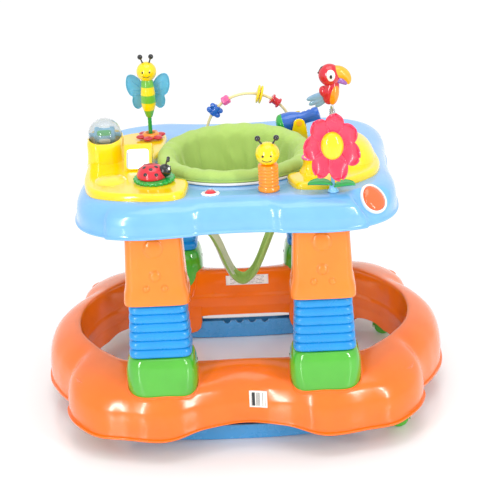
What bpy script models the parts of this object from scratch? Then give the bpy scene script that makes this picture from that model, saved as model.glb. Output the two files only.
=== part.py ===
"""Baby walker with rockers, retractable casters, a swivel seat and a play tray.

Metres, +Z up. The origin is on the floor under the middle of the base. +X is along the rockers,
-Y is the side with the grub, which is called the front here.
"""
import math

import bmesh
import bpy
from mathutils import Matrix, Vector

# ---------------------------------------------------------------- driving sizes
GAP = 0.0003                 # left between pieces that touch
BASE_HALF_LENGTH = 0.350     # floor plan of the base ring, half sizes
BASE_HALF_DEPTH = 0.289
BASE_BOTTOM = 0.041
BASE_CREST = 0.140           # highest line, along the inner edge
BASE_WALL = 0.0030

LEG_X = 0.136                # the four legs stand at (+-LEG_X, +-LEG_Y)
LEG_Y = 0.227
BULB_HALF_X = 0.0600
BULB_HALF_Y = 0.0460
BULB_BOTTOM = 0.103
BULB_TOP = 0.181
BULB_WALL = 0.003
POCKET_CLEAR = 0.0008        # around a foot bulb in its saddle
CUP_WALL = 0.0042

RIB_COUNT = 9
RIB_PITCH = 0.0155
RIB_DEPTH = 0.0030
COLUMN_HALF_X = 0.0520
COLUMN_HALF_Y = 0.0375
COLUMN_TAPER = 0.055         # half width lost per metre of height
COLUMN_WALL = 0.0025
GUIDE_TOP = 0.372            # plain top of the column, inside its sleeve
GUIDE_INSET = 0.0065

SLEEVE_BOTTOM = 0.277
SLEEVE_HALF_X = 0.0545       # at its lower lip
SLEEVE_HALF_Y = 0.0400
SLEEVE_TAPER = 0.060
SLEEVE_WALL = 0.0028
SLEEVE_DROP = 0.015          # from the tray's top to the sleeve's, which stays under its shoulder
LIP_HEIGHT = 0.012
LIP_DRAW = 0.0015

TRAY_HALF_X = 0.266
TRAY_FRONT = -0.277
TRAY_REAR = 0.277
TRAY_TOP_FRONT = 0.455       # top of the tray at its front edge
TRAY_FALL = 0.0789           # the top falls this much per metre towards the rear
TRAY_DEPTH = 0.053           # height of the skirt
TRAY_WALL = 0.003
TRAY_SHOULDER = 0.030
PANEL_THICK = 0.012
PANEL_EDGE = 0.006
PANEL_WALL = 0.003

SEAT_Y = -0.045              # middle of the seat
HOLE_R = 0.127
SEAT_CLEAR = 0.004
SEAT_FLANGE_R = 0.1345
SEAT_BORE_R = 0.112
SEAT_FLANGE_T = 0.004
SEAT_BARREL = 0.024
RIM_OUT_R = 0.1335
RIM_IN_R = 0.1030
RIM_HEIGHT = 0.020
RIM_REAR_LIFT = 0.016
BAND_TOP_R = 0.1085
BAND_BOTTOM_R = 0.092
BAND_HEIGHT = 0.088
BAND_WALL = 0.003
SLING_WIDTH = 0.070
SLING_THICK = 0.004
SLING_DROP = 0.206

ROCKER_Y = 0.202
ROCKER_HALF_LENGTH = 0.208
ROCKER_HALF_WIDTH = 0.016
ROCKER_WALL = 0.0025
ROCKER_RADIUS = 1.10
ROCKER_LOW_X = -0.010        # middle of the flat that it rests on
ROCKER_FLAT = 0.040
ROCKER_RIM = 0.036
SCALLOP_R = 0.008
SCALLOP_PITCH = 0.024
POST_X = 0.199
POST_HALF_X = 0.0085
POST_HALF_Y = 0.012
POST_TOP = 0.080
ROCKER_UP = 0.012            # how far it lifts clear of the floor
ROCKER_DOWN = 0.030          # how far it goes below the casters to rock
SOCKET_WALL = 0.003
SOCKET_BOTTOM = 0.027
GUARD_INNER_X = 0.083        # the inner wall reaches down beside the rocker beyond this X
GUARD_BOTTOM = 0.015

CASTER_X = 0.256
CASTER_Y = 0.186
CASTER_TRAVEL = 0.034
WHEEL_R = 0.017
WHEEL_WIDTH = 0.009
WHEEL_GAP = 0.009
CASTER_TRAIL = 0.004
AXLE_R = 0.003
FENDER_GAP = 0.001
FENDER_WALL = 0.0015
CARRIER_R = 0.0275
CARRIER_T = 0.008
WELL_CLEAR = 0.0005
WELL_WALL = 0.003
WELL_SPARE = 0.025           # bore left above the carrier, up to the roof of the base
SWIVEL_R = 0.005
RUN_CLEAR = 0.0004           # radial clearance of pins and buttons

BALL_AT = (-0.222, -0.006, 0.487)
BALL_R = 0.029
BALL_WALL = 0.002
BALL_PORT_R = 0.0042
DRUM_R = 0.014
TOWER_HALF_X = 0.031
TOWER_HALF_Y = 0.042
TOWER_TOP = 0.480

MIRROR_AT = (-0.163, -0.078)
MIRROR_SIZE = 0.038
MIRROR_T = 0.0025
WEDGE_RISE = 0.032

BEE_AT = (-0.151, 0.107)
BEE_BASE_R = 0.026
BEE_BASE_H = 0.010
BEE_STEM_R = 0.0034
BEE_TAIL_Z = 0.477
BEE_HEAD_Z = 0.561
BEE_HEAD_R = 0.0175
BEE_WING_Z = 0.520

LADYBUG_AT = (-0.132, -0.168)
DISC_R = 0.034
DISC_T = 0.005
LADYBUG_R = 0.0245
LADYBUG_H = 0.022
LADYBUG_HEAD_R = 0.0105

GEM_AT = (-0.040, -0.214)
GEM_R = 0.009
GEM_PROUD = 0.006
GEM_BODY = 0.014

GRUB_AT = (0.055, -0.209)
GRUB_R = 0.0165
GRUB_RIBS = 5
GRUB_H = 0.044
GRUB_HEAD_R = 0.0195

WIRE_AT = (0.025, 0.142)
WIRE_ARC_R = 0.078
WIRE_R = 0.0026
WIRE_FOOT_R = 0.008
BEAD_CLEAR = 0.0011
BUTTERFLY_ANGLE = 141.0
PINK_ANGLE = 121.0
YELLOW_ANGLE = 75.0
SPOOL_ANGLE = 52.0

SCOPE_AT = (0.113, 0.097, 0.464)
SCOPE_TILT = 16.0
SCOPE_HALF_LENGTH = 0.038
SCOPE_WIDE_R = 0.0185
SCOPE_NARROW_R = 0.0105
SCOPE_PIN_R = 0.003
CHEEK_T = 0.003
CHEEK_CLEAR = 0.002

FLOWER_AT = (0.158, -0.232)
FLOWER_Z = 0.534
FLOWER_R = 0.044
FLOWER_LOBES = 7
FLOWER_LOBE_DEPTH = 0.009
FLOWER_T = 0.008
HEART_R = 0.018
HEART_PROUD = 0.010
FLOWER_STEM_R = 0.003
LEAF_LENGTH = 0.036
LEAF_WIDTH = 0.020
LEAF_T = 0.003

PARROT_AT = (0.170, 0.035)
PARROT_FOOT_Z = 0.507
PARROT_HEAD_Z = 0.563
PARROT_HEAD_R = 0.0175
PARROT_STEM_R = 0.003

OVAL_AT = (0.222, -0.227, 0.434)
OVAL_FACING = (0.42, -0.62, 0.66)
OVAL_HALF_WIDE = 0.0185
OVAL_HALF_TALL = 0.0215
OVAL_BODY = 0.013
OVAL_PROUD = 0.006
OVAL_RIM = 0.004

RATTLE_AT = (0.147, 0.006)
RATTLE_R = 0.0135
RATTLE_POST_R = 0.0045

# ---------------------------------------------------------------- finishes
COLOURS = {
    "orange": (0.93, 0.24, 0.02), "light_orange": (0.96, 0.32, 0.03), "green": (0.10, 0.45, 0.04),
    "blue": (0.01, 0.32, 0.72), "sky": (0.25, 0.53, 0.88), "yellow": (0.95, 0.68, 0.01),
    "lime": (0.45, 0.62, 0.12), "red": (0.70, 0.02, 0.02), "black": (0.02, 0.02, 0.02),
    "white": (0.85, 0.85, 0.85), "silver": (0.80, 0.80, 0.82), "clear": (0.80, 0.88, 0.92),
    "pink": (0.85, 0.15, 0.30), "grey": (0.45, 0.45, 0.46), "cream": (0.85, 0.76, 0.55),
}


def finish(name, colour, roughness=0.3, metallic=0.0):
    mat = bpy.data.materials.new(name)
    mat.use_nodes = True
    shader = mat.node_tree.nodes["Principled BSDF"]
    shader.inputs["Base Color"].default_value = (*COLOURS[colour], 1.0)
    shader.inputs["Roughness"].default_value = roughness
    shader.inputs["Metallic"].default_value = metallic
    return mat


# ---------------------------------------------------------------- modelling helpers
def tray_z(y, rise=0.0):
    """Height of the tray's top at y, plus rise."""
    return TRAY_TOP_FRONT - TRAY_FALL * (y - TRAY_FRONT) + rise


def place(name, bm, colour, origin=(0, 0, 0), roughness=0.3, metallic=0.0):
    """Turn a bmesh in world places into an object whose origin is at the given point."""
    bmesh.ops.remove_doubles(bm, verts=bm.verts, dist=1e-7)
    bmesh.ops.recalc_face_normals(bm, faces=bm.faces)
    bmesh.ops.translate(bm, vec=-Vector(origin), verts=bm.verts)
    mesh = bpy.data.meshes.new(name)
    bm.to_mesh(mesh)
    bm.free()
    mesh.shade_smooth()
    mesh.set_sharp_from_angle(angle=math.radians(35))
    obj = bpy.data.objects.new(name, mesh)
    obj.location = origin
    bpy.context.scene.collection.objects.link(obj)
    mesh.materials.append(finish(name, colour, roughness, metallic))
    return obj


def cutter(name, bm):
    """A hidden solid for a Boolean."""
    bmesh.ops.remove_doubles(bm, verts=bm.verts, dist=1e-7)
    bmesh.ops.recalc_face_normals(bm, faces=bm.faces)
    mesh = bpy.data.meshes.new(name)
    bm.to_mesh(mesh)
    bm.free()
    obj = bpy.data.objects.new(name, mesh)
    obj.hide_render = True
    obj.display_type = "WIRE"
    bpy.context.scene.collection.objects.link(obj)
    return obj


def combine(target, tool, operation):
    mod = target.modifiers.new(f"{operation.lower()}_{tool.name}", "BOOLEAN")
    mod.operation = operation
    mod.solver = "EXACT"
    mod.object = tool


def loft(rings, wrap=False, bm=None):
    """Skin a list of equal rings. wrap joins the last ring to the first, else both ends are capped."""
    bm = bm or bmesh.new()
    loops = [[bm.verts.new(p) for p in ring] for ring in rings]
    pairs = list(zip(loops, loops[1:]))
    if wrap:
        pairs.append((loops[-1], loops[0]))
    for low, high in pairs:
        count = len(low)
        for i in range(count):
            j = (i + 1) % count
            bm.faces.new((low[i], low[j], high[j], high[i]))
    if not wrap:
        bm.faces.new(loops[0][::-1])
        bm.faces.new(loops[-1])
    return bm


def open_shell(outside, inside):
    """A shell open at one end: outside rings run from the open end to the closed end, inside rings back."""
    bm = bmesh.new()
    outer = [[bm.verts.new(p) for p in ring] for ring in outside]
    inner = [[bm.verts.new(p) for p in ring] for ring in inside]
    for low, high in [*zip(outer, outer[1:]), *zip(inner, inner[1:]), (inner[-1], outer[0])]:
        for i in range(len(low)):
            j = (i + 1) % len(low)
            bm.faces.new((low[i], low[j], high[j], high[i]))
    bm.faces.new(outer[-1])
    bm.faces.new(inner[0])
    return bm


def turned(profile, steps, centre=(0, 0, 0), axis=(0, 0, 1)):
    """Spin a profile of (radius, height) about an axis. Points on the axis close the shape."""
    bm = bmesh.new()
    verts = [bm.verts.new((r, 0, z)) for r, z in profile]
    edges = [bm.edges.new(pair) for pair in zip(verts, verts[1:])]
    if profile[0][0] > 0 and profile[-1][0] > 0:
        edges.append(bm.edges.new((verts[-1], verts[0])))
    bmesh.ops.spin(bm, geom=verts + edges, cent=(0, 0, 0), axis=(0, 0, 1),
                   angle=math.tau, steps=steps, use_merge=True, use_duplicate=False)
    bmesh.ops.remove_doubles(bm, verts=bm.verts, dist=1e-6)
    turn = Vector((0, 0, 1)).rotation_difference(Vector(axis)).to_matrix().to_4x4()
    bm.transform(Matrix.Translation(centre) @ turn)
    return bm


def rounded_rectangle(cx, cy, half_x, half_y, radius, per_corner):
    """Points of a rounded rectangle, anticlockwise."""
    points = []
    for sx, sy, start in ((1, 1, 0), (-1, 1, 90), (-1, -1, 180), (1, -1, 270)):
        for k in range(per_corner + 1):
            a = math.radians(start + 90 * k / per_corner)
            points.append((cx + sx * (half_x - radius) + radius * math.cos(a),
                           cy + sy * (half_y - radius) + radius * math.sin(a)))
    return points


def at_height(points, z):
    return [Vector((x, y, z)) for x, y in points]


def smooth_closed(points, steps):
    """A Catmull-Rom curve through a closed list of plan points."""
    out = []
    count = len(points)
    for i in range(count):
        p0, p1, p2, p3 = (Vector(points[(i + k - 1) % count]) for k in range(4))
        for s in range(steps):
            t = s / steps
            out.append(0.5 * (2 * p1 + (p2 - p0) * t + (2 * p0 - 5 * p1 + 4 * p2 - p3) * t * t
                              + (3 * p1 - p0 - 3 * p2 + p3) * t ** 3))
    return out


def four_fold(quarter, half_x, front, rear):
    """Mirror a quarter outline, given as shares of the half sizes, to a whole one."""
    full = [(half_x * x, -front * y) for x, y in quarter[::-1]]
    full = [(x, y) for x, y in full]
    right_front = [(half_x * x, front * y) for x, y in quarter]
    right_rear = [(half_x * x, rear * y) for x, y in quarter]
    whole = right_front[::-1][:-1] + right_rear[:-1]
    whole += [(-x, y) for x, y in right_rear[::-1][:-1]] + [(-x, y) for x, y in right_front[:-1]]
    return whole


def box(x0, x1, y0, y1, z0, z1):
    bm = bmesh.new()
    size = Vector((x1 - x0, y1 - y0, z1 - z0))
    middle = Vector((x0 + x1, y0 + y1, z0 + z1)) / 2
    bmesh.ops.create_cube(bm, size=1, matrix=Matrix.Translation(middle) @ Matrix.Diagonal((*size, 1)))
    return bm


def ball(centre, radius, squash=(1, 1, 1), turn=Matrix.Identity(4), u=12, v=8):
    bm = bmesh.new()
    matrix = Matrix.Translation(centre) @ turn @ Matrix.Diagonal((*squash, 1))
    bmesh.ops.create_uvsphere(bm, u_segments=u, v_segments=v, radius=radius, matrix=matrix)
    return bm


def rod(start, end, radius, steps=12, end_radius=None):
    start, end = Vector(start), Vector(end)
    length = (end - start).length
    tip = radius if end_radius is None else end_radius
    return turned([(0, 0), (radius, 0), (tip, length), (0, length)], steps, start, (end - start))


def corners():
    """The four leg or caster corners, as name, side along X and side along Y."""
    return (("front_left", -1, -1), ("front_right", 1, -1), ("rear_left", -1, 1), ("rear_right", 1, 1))


# ---------------------------------------------------------------- base
# outer and inner edge of the base ring over one quarter, from the end lobe to the middle
BASE_QUARTER = (
    ((0.350, 0.000), (0.286, 0.000)), ((0.345, 0.050), (0.281, 0.046)),
    ((0.328, 0.095), (0.268, 0.082)), ((0.311, 0.130), (0.254, 0.106)),
    ((0.307, 0.172), (0.240, 0.124)), ((0.290, 0.222), (0.222, 0.142)),
    ((0.253, 0.260), (0.204, 0.160)), ((0.200, 0.276), (0.170, 0.178)),
    ((0.158, 0.288), (0.146, 0.182)), ((0.118, 0.289), (0.112, 0.182)),
    ((0.070, 0.268), (0.070, 0.182)), ((0.000, 0.250), (0.000, 0.182)),
)
BASE_INNER_Y = 0.182


def base_edges():
    """The outer and inner edge as paired plan points."""
    outer = [(x / 0.350, y / 0.289) for (x, y), _ in BASE_QUARTER]
    inner = [(x, y) for _, (x, y) in BASE_QUARTER]
    grown = BASE_HALF_LENGTH - 0.350
    inner = [(x + grown * min(1.0, x / 0.24), y) for x, y in inner]
    outer = four_fold(outer, BASE_HALF_LENGTH, -BASE_HALF_DEPTH, BASE_HALF_DEPTH)
    inner = four_fold(inner, 1.0, -1.0, 1.0)
    return list(zip(outer, inner))


def base_section(outer, inner, skin):
    """Section of the ring: the outside (skin 0) or the hollow below it (skin = wall)."""
    outer, inner = Vector(outer), Vector(inner)
    share = skin / (outer - inner).length
    crest = BASE_CREST
    section = ((0.04 + share, BASE_BOTTOM), (share, 0.075), (0.06 + share, 0.104 - skin / 2),
               (0.24 + share / 2, 0.124 - skin), (0.55, crest - 0.006 - skin),
               (0.92 - share, crest - skin), (1 - share, crest - 0.008 - skin / 2), (1 - share, BASE_BOTTOM))
    drop = 0.01 if skin else 0.0
    points = []
    for k, (t, z) in enumerate(section):
        low = k in (0, len(section) - 1)
        spot = outer.lerp(inner, t)
        points.append(Vector((spot.x, spot.y, z - drop * low)))
    return points


def make_base():
    edges = base_edges()
    ring = loft([base_section(o, i, 0.0) for o, i in edges], wrap=True)
    base = place("base_ring", ring, "orange")
    hollow = cutter("cut_base_hollow", loft([base_section(o, i, BASE_WALL) for o, i in edges], wrap=True))
    for name, sx, sy in corners():
        hx, hy = POST_HALF_X + RUN_CLEAR + SOCKET_WALL, POST_HALF_Y + RUN_CLEAR + SOCKET_WALL
        px, py = sx * POST_X, sy * ROCKER_Y
        combine(hollow, cutter(f"keep_socket_{name}", box(px - hx, px + hx, py - hy, py + hy, 0, 0.2)),
                "DIFFERENCE")
    for name, sx, sy in corners():
        well_r = CARRIER_R + WELL_CLEAR + WELL_WALL
        well = turned([(0, 0), (well_r, 0), (well_r, 0.2), (0, 0.2)], 16, (sx * CASTER_X, sy * CASTER_Y, 0))
        combine(hollow, cutter(f"keep_well_{name}", well), "DIFFERENCE")
    for name, sx, sy in corners():
        cup = rounded_rectangle(sx * LEG_X, sy * LEG_Y, BULB_HALF_X + CUP_WALL, BULB_HALF_Y + CUP_WALL, 0.022, 2)
        cup_floor = BULB_BOTTOM - GAP - CUP_WALL
        combine(hollow, cutter(f"keep_cup_{name}", loft([at_height(cup, cup_floor), at_height(cup, 0.2)])),
                "DIFFERENCE")
    combine(base, hollow, "DIFFERENCE")
    for name, sx, sy in corners():
        hx, hy = POST_HALF_X + RUN_CLEAR + SOCKET_WALL, POST_HALF_Y + RUN_CLEAR + SOCKET_WALL
        px, py = sx * POST_X, sy * ROCKER_Y
        combine(base, cutter(f"add_socket_{name}",
                             box(px - hx, px + hx, py - hy, py + hy, SOCKET_BOTTOM, POST_TOP)), "UNION")
        gx = sorted((sx * GUARD_INNER_X, sx * (POST_X - hx + 0.001)))
        gy = sorted((sy * (BASE_INNER_Y - 0.0004), sy * (BASE_INNER_Y + 0.003)))
        combine(base, cutter(f"add_guard_{name}", box(*gx, *gy, GUARD_BOTTOM, 0.07)), "UNION")
        pocket = rounded_rectangle(sx * LEG_X, sy * LEG_Y, BULB_HALF_X + POCKET_CLEAR,
                                   BULB_HALF_Y + POCKET_CLEAR, 0.021, 2)
        combine(base, cutter(f"cut_pocket_{name}",
                             loft([at_height(pocket, BULB_BOTTOM - GAP), at_height(pocket, 0.2)])), "DIFFERENCE")
        hx, hy = POST_HALF_X + RUN_CLEAR, POST_HALF_Y + RUN_CLEAR
        combine(base, cutter(f"cut_socket_{name}",
                             box(px - hx, px + hx, py - hy, py + hy, 0, socket_top())), "DIFFERENCE")
        bore = turned([(0, 0), (CARRIER_R + WELL_CLEAR, 0), (CARRIER_R + WELL_CLEAR, well_top()), (0, well_top())],
                      16, (sx * CASTER_X, sy * CASTER_Y, 0))
        combine(base, cutter(f"cut_well_{name}", bore), "DIFFERENCE")


def carrier_bottom():
    return 2 * WHEEL_R + FENDER_GAP + FENDER_WALL + 0.001


def well_top():
    """Top of a caster's bore, a little above its retracted carrier."""
    return carrier_bottom() + CARRIER_T + CASTER_TRAVEL + WELL_SPARE


def socket_top():
    """Top of the bore for a rocker's post."""
    return POST_TOP + ROCKER_UP + 0.001


# ---------------------------------------------------------------- legs
def make_bulb(name, sx, sy):
    x, y = sx * LEG_X, sy * LEG_Y
    tall = BULB_TOP - BULB_BOTTOM
    shape = ((0.00, 0.84, 0.82), (0.14, 0.94, 0.93), (0.42, 1.00, 1.00), (0.76, 0.96, 0.95), (1.00, 0.86, 0.83))
    outside = [at_height(rounded_rectangle(x, y, BULB_HALF_X * u, BULB_HALF_Y * v, 0.020, 2), BULB_BOTTOM + tall * h)
               for h, u, v in shape]
    inside = [at_height(rounded_rectangle(x, y, BULB_HALF_X * u - BULB_WALL, BULB_HALF_Y * v - BULB_WALL, 0.017, 2),
                        min(BULB_BOTTOM + tall * h, BULB_TOP - BULB_WALL)) for h, u, v in shape[::-1] if h != 0.14]
    place(f"foot_bulb_{name}", open_shell(outside, inside), "green", (x, y, BULB_BOTTOM))


def make_column(name, sx, sy):
    x, y = sx * LEG_X, sy * LEG_Y
    foot = BULB_TOP + GAP

    def ring(z, inset):
        lost = COLUMN_TAPER * (z - foot) + inset
        return at_height(rounded_rectangle(x, y, COLUMN_HALF_X - lost, COLUMN_HALF_Y - lost, 0.009, 1), z)

    rings = []
    for k in range(RIB_COUNT):
        z = foot + k * RIB_PITCH
        rings += [ring(z, RIB_DEPTH), ring(z + 0.5 * RIB_PITCH, 0.0)]
    rib_top = foot + RIB_COUNT * RIB_PITCH
    rings += [ring(rib_top, RIB_DEPTH), ring(rib_top, GUIDE_INSET), ring(GUIDE_TOP, GUIDE_INSET)]
    core = [ring(GUIDE_TOP, GUIDE_INSET + COLUMN_WALL), ring(rib_top, GUIDE_INSET + COLUMN_WALL),
            ring(foot, RIB_DEPTH + COLUMN_WALL)]
    bm = loft(rings + core, wrap=True)
    place(f"ribbed_column_{name}", bm, "blue", (x, y, foot))


def make_sleeve(name, sx, sy):
    x, y = sx * LEG_X, sy * LEG_Y
    top = tray_z(y + sy * SLEEVE_HALF_Y, -SLEEVE_DROP)

    def ring(z, inset):
        lost = SLEEVE_TAPER * (z - SLEEVE_BOTTOM) + inset
        return at_height(rounded_rectangle(x, y, SLEEVE_HALF_X - lost, SLEEVE_HALF_Y - lost, 0.015, 2), z)

    rings = [ring(SLEEVE_BOTTOM, LIP_DRAW), ring(SLEEVE_BOTTOM + LIP_HEIGHT, 0.0),
             ring(SLEEVE_BOTTOM + 2 * LIP_HEIGHT, 0.0012), ring(top, 0.0)]
    inner = [ring(top, SLEEVE_WALL), ring(SLEEVE_BOTTOM + 0.002, SLEEVE_WALL + 0.0002)]
    bm = loft(rings + inner, wrap=True)
    place(f"leg_sleeve_{name}", bm, "light_orange", (x, y, SLEEVE_BOTTOM))


# ---------------------------------------------------------------- rockers
def rocker_low(x):
    """Height of the rocker's running edge: a short flat with an arc on each side."""
    away = max(0.0, abs(x - ROCKER_LOW_X) - ROCKER_FLAT / 2)
    return ROCKER_RADIUS - math.sqrt(ROCKER_RADIUS ** 2 - away ** 2)


def rocker_prism(x_low, x_high, half_y, y, floor_rise, top):
    """A bar with the rocker's curved underside, raised by floor_rise, and a flat top."""
    marks = [x_low, ROCKER_LOW_X - ROCKER_FLAT / 2, ROCKER_LOW_X + ROCKER_FLAT / 2, x_high]
    stations = [marks[0] + (marks[1] - marks[0]) * k / 5 for k in range(6)]
    stations += [marks[2] + (marks[3] - marks[2]) * k / 5 for k in range(6)]
    rings = []
    for x in stations:
        low = rocker_low(x) + floor_rise
        rings.append([Vector((x, y - half_y, low)), Vector((x, y + half_y, low)),
                      Vector((x, y + half_y, top)), Vector((x, y - half_y, top))])
    return loft(rings)


def make_rocker(name, sy):
    y = sy * ROCKER_Y
    inner_end = POST_X - POST_HALF_X - RUN_CLEAR - SOCKET_WALL - 0.001
    low_end = SOCKET_BOTTOM - 0.001
    bar = place(f"rocker_{name}", rocker_prism(-inner_end, inner_end, ROCKER_HALF_WIDTH, y, 0.0, ROCKER_RIM),
                "blue", (0, y, 0))
    toe = cutter(f"add_toes_{name}", rocker_prism(-ROCKER_HALF_LENGTH, ROCKER_HALF_LENGTH,
                                                  ROCKER_HALF_WIDTH - 0.0008, y, 0.0002, low_end))
    trough = cutter(f"cut_trough_{name}",
                    rocker_prism(-inner_end + ROCKER_WALL, inner_end - ROCKER_WALL,
                                 ROCKER_HALF_WIDTH - ROCKER_WALL, y, ROCKER_WALL, ROCKER_RIM + 0.01))
    combine(bar, toe, "UNION")
    for side in (-1, 1):
        px = side * POST_X
        post = box(px - POST_HALF_X, px + POST_HALF_X, y - POST_HALF_Y, y + POST_HALF_Y, 0.021, POST_TOP)
        combine(bar, cutter(f"add_post_{name}_{'left' if side < 0 else 'right'}", post), "UNION")
    combine(bar, trough, "DIFFERENCE")
    for k in range(4):
        x = (k - 1.5) * SCALLOP_PITCH
        notch = rod((x, y - 0.03, ROCKER_RIM + 0.003), (x, y + 0.03, ROCKER_RIM + 0.003), SCALLOP_R, 8)
        combine(bar, cutter(f"cut_scallop_{name}_{k}", notch), "DIFFERENCE")


# ---------------------------------------------------------------- casters
def make_caster(name, sx, sy):
    x, y = sx * CASTER_X, sy * CASTER_Y
    lift = 0.0 if sx > 0 else CASTER_TRAVEL       # the left pair stands retracted
    low = carrier_bottom() + lift
    disc = turned([(SWIVEL_R + RUN_CLEAR, 0), (CARRIER_R, 0), (CARRIER_R, CARRIER_T),
                   (SWIVEL_R + RUN_CLEAR, CARRIER_T)], 16, (x, y, low))
    place(f"caster_carrier_{name}", disc, "grey", (x, y, low))

    hub = Vector((x + CASTER_TRAIL, y, WHEEL_R + lift))
    half = WHEEL_GAP / 2 + WHEEL_WIDTH
    inside_r = WHEEL_R + FENDER_GAP
    outside_r = inside_r + FENDER_WALL
    hood = []
    for k in range(8):
        a = math.radians(-5 + 190 * k / 7)
        hood.append((math.cos(a), math.sin(a)))
    rings = []
    for side in (-half - 0.0005, half + 0.0005):
        outline = [Vector((hub.x + outside_r * c, hub.y + side, hub.z + outside_r * s)) for c, s in hood]
        outline += [Vector((hub.x + inside_r * c, hub.y + side, hub.z + inside_r * s)) for c, s in hood[::-1]]
        rings.append(outline)
    fork = place(f"caster_fork_{name}", loft(rings), "green", (x, y, hub.z))
    web_half = WHEEL_GAP / 2 - RUN_CLEAR
    web = rod(hub - Vector((0, web_half, 0)), hub + Vector((0, web_half, 0)), inside_r + FENDER_WALL / 2, 16)
    combine(fork, cutter(f"add_web_{name}", web), "UNION")
    combine(fork, cutter(f"cut_web_{name}", box(hub.x - 0.03, hub.x + 0.03, hub.y - 0.03, hub.y + 0.03,
                                                 hub.z - 0.03, hub.z - AXLE_R - 0.003)), "DIFFERENCE")
    pin = rod((x, y, hub.z + WHEEL_R * 0.9), (x, y, low + CARRIER_T - 0.001), SWIVEL_R, 10)
    shaped = cutter(f"add_pin_{name}", pin)
    combine(fork, shaped, "UNION")
    room = turned([(0, 0), (WHEEL_R + FENDER_GAP, 0), (WHEEL_R + FENDER_GAP, WHEEL_WIDTH + 0.001),
                   (0, WHEEL_WIDTH + 0.001)], 16, (hub.x, hub.y + WHEEL_GAP / 2 - RUN_CLEAR, hub.z), (0, 1, 0))
    combine(fork, cutter(f"cut_room_a_{name}", room), "DIFFERENCE")
    room = turned([(0, 0), (WHEEL_R + FENDER_GAP, 0), (WHEEL_R + FENDER_GAP, WHEEL_WIDTH + 0.001),
                   (0, WHEEL_WIDTH + 0.001)], 16, (hub.x, hub.y - WHEEL_GAP / 2 + RUN_CLEAR, hub.z), (0, -1, 0))
    combine(fork, cutter(f"cut_room_b_{name}", room), "DIFFERENCE")
    eye = rod(hub - Vector((0, 0.02, 0)), hub + Vector((0, 0.02, 0)), AXLE_R + RUN_CLEAR, 10)
    combine(fork, cutter(f"cut_eye_{name}", eye), "DIFFERENCE")

    inner, outer = WHEEL_GAP / 2, half
    tread = 0.0012
    profile = [(0, -outer), (WHEEL_R - tread, -outer), (WHEEL_R, -outer + tread), (WHEEL_R, -inner),
               (AXLE_R, -inner), (AXLE_R, inner), (WHEEL_R, inner), (WHEEL_R, outer - tread),
               (WHEEL_R - tread, outer), (0, outer)]
    place(f"caster_wheels_{name}", turned(profile, 16, hub, (0, 1, 0)), "green", hub)


# ---------------------------------------------------------------- tray
TRAY_QUARTER = (
    (0.985, 0.000), (0.989, 0.250), (1.000, 0.470), (0.985, 0.655), (0.932, 0.800), (0.835, 0.909),
    (0.707, 0.972), (0.530, 1.000), (0.270, 0.970), (0.000, 0.955),
)


def make_tray():
    edge = [Vector(p) for p in four_fold(TRAY_QUARTER, TRAY_HALF_X, TRAY_FRONT, TRAY_REAR)]
    seat = Vector((0, SEAT_Y))

    def inset(amount, height):
        ring = []
        for p in edge:
            q = p * (1 - amount / p.length)
            ring.append(Vector((q.x, q.y, tray_z(q.y, height - TRAY_DEPTH))))
        return ring

    def hole(radius, height):
        ring = []
        for p in edge:
            q = seat + (p - seat).normalized() * radius
            ring.append(Vector((q.x, q.y, tray_z(q.y, height - TRAY_DEPTH))))
        return ring

    top, wall = TRAY_DEPTH, TRAY_WALL
    rings = [inset(0, 0), inset(0, 0.022), inset(0.006, 0.039), inset(TRAY_SHOULDER, top),
             hole(HOLE_R, top), hole(HOLE_R, top - 0.026), hole(HOLE_R + wall, top - 0.026),
             hole(HOLE_R + wall, top - wall), inset(TRAY_SHOULDER, top - wall),
             inset(0.006 + wall * 0.8, 0.039 - wall * 0.6), inset(wall, 0.022 - wall * 0.2), inset(wall, 0)]
    tray = place("tray_shell", loft(rings, wrap=True), "sky")

    facing = Vector(OVAL_FACING).normalized()
    turn = oval_frame()
    rim = oval_solid(OVAL_HALF_WIDE + RUN_CLEAR + OVAL_RIM, OVAL_HALF_TALL + RUN_CLEAR + OVAL_RIM,
                     -0.012, 0.003, turn)
    combine(tray, cutter("add_oval_rim", rim), "UNION")
    bore = oval_solid(OVAL_HALF_WIDE + RUN_CLEAR, OVAL_HALF_TALL + RUN_CLEAR, -0.05, 0.05, turn)
    combine(tray, cutter("cut_oval", bore), "DIFFERENCE")
    gx, gy = GEM_AT
    gem = rod((gx, gy, tray_z(gy, -0.01)), (gx, gy, tray_z(gy, 0.01)), GEM_R + RUN_CLEAR, 16)
    combine(tray, cutter("cut_gem", gem), "DIFFERENCE")


def seat_arc(radius, start, end, steps):
    """Plan points around the seat, angles in degrees."""
    points = []
    for k in range(steps + 1):
        a = math.radians(start + (end - start) * k / steps)
        points.append((radius * math.cos(a), SEAT_Y + radius * math.sin(a)))
    return points


def panel(name, outline, rows=1):
    """A raised hollow toy panel, open towards the tray, that follows its slope."""
    points = [Vector(p) for p in outline]
    count = len(points)

    def ring(amount, rise):
        out = []
        for i, p in enumerate(points):
            along = points[(i + 1) % count] - points[i - 1]
            inward = Vector((-along.y, along.x)).normalized()
            q = p + inward * amount
            out.append(Vector((q.x, q.y, tray_z(q.y, rise))))
        return out

    outside = [ring(0, GAP), ring(0, PANEL_THICK - PANEL_EDGE), ring(PANEL_EDGE, PANEL_THICK)]
    inside = [ring(PANEL_EDGE + 0.001, PANEL_THICK - PANEL_WALL), ring(PANEL_WALL, GAP)]
    return place(name, open_shell(outside, inside), "yellow")


PANEL_CLEAR_R = 0.1425


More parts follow.
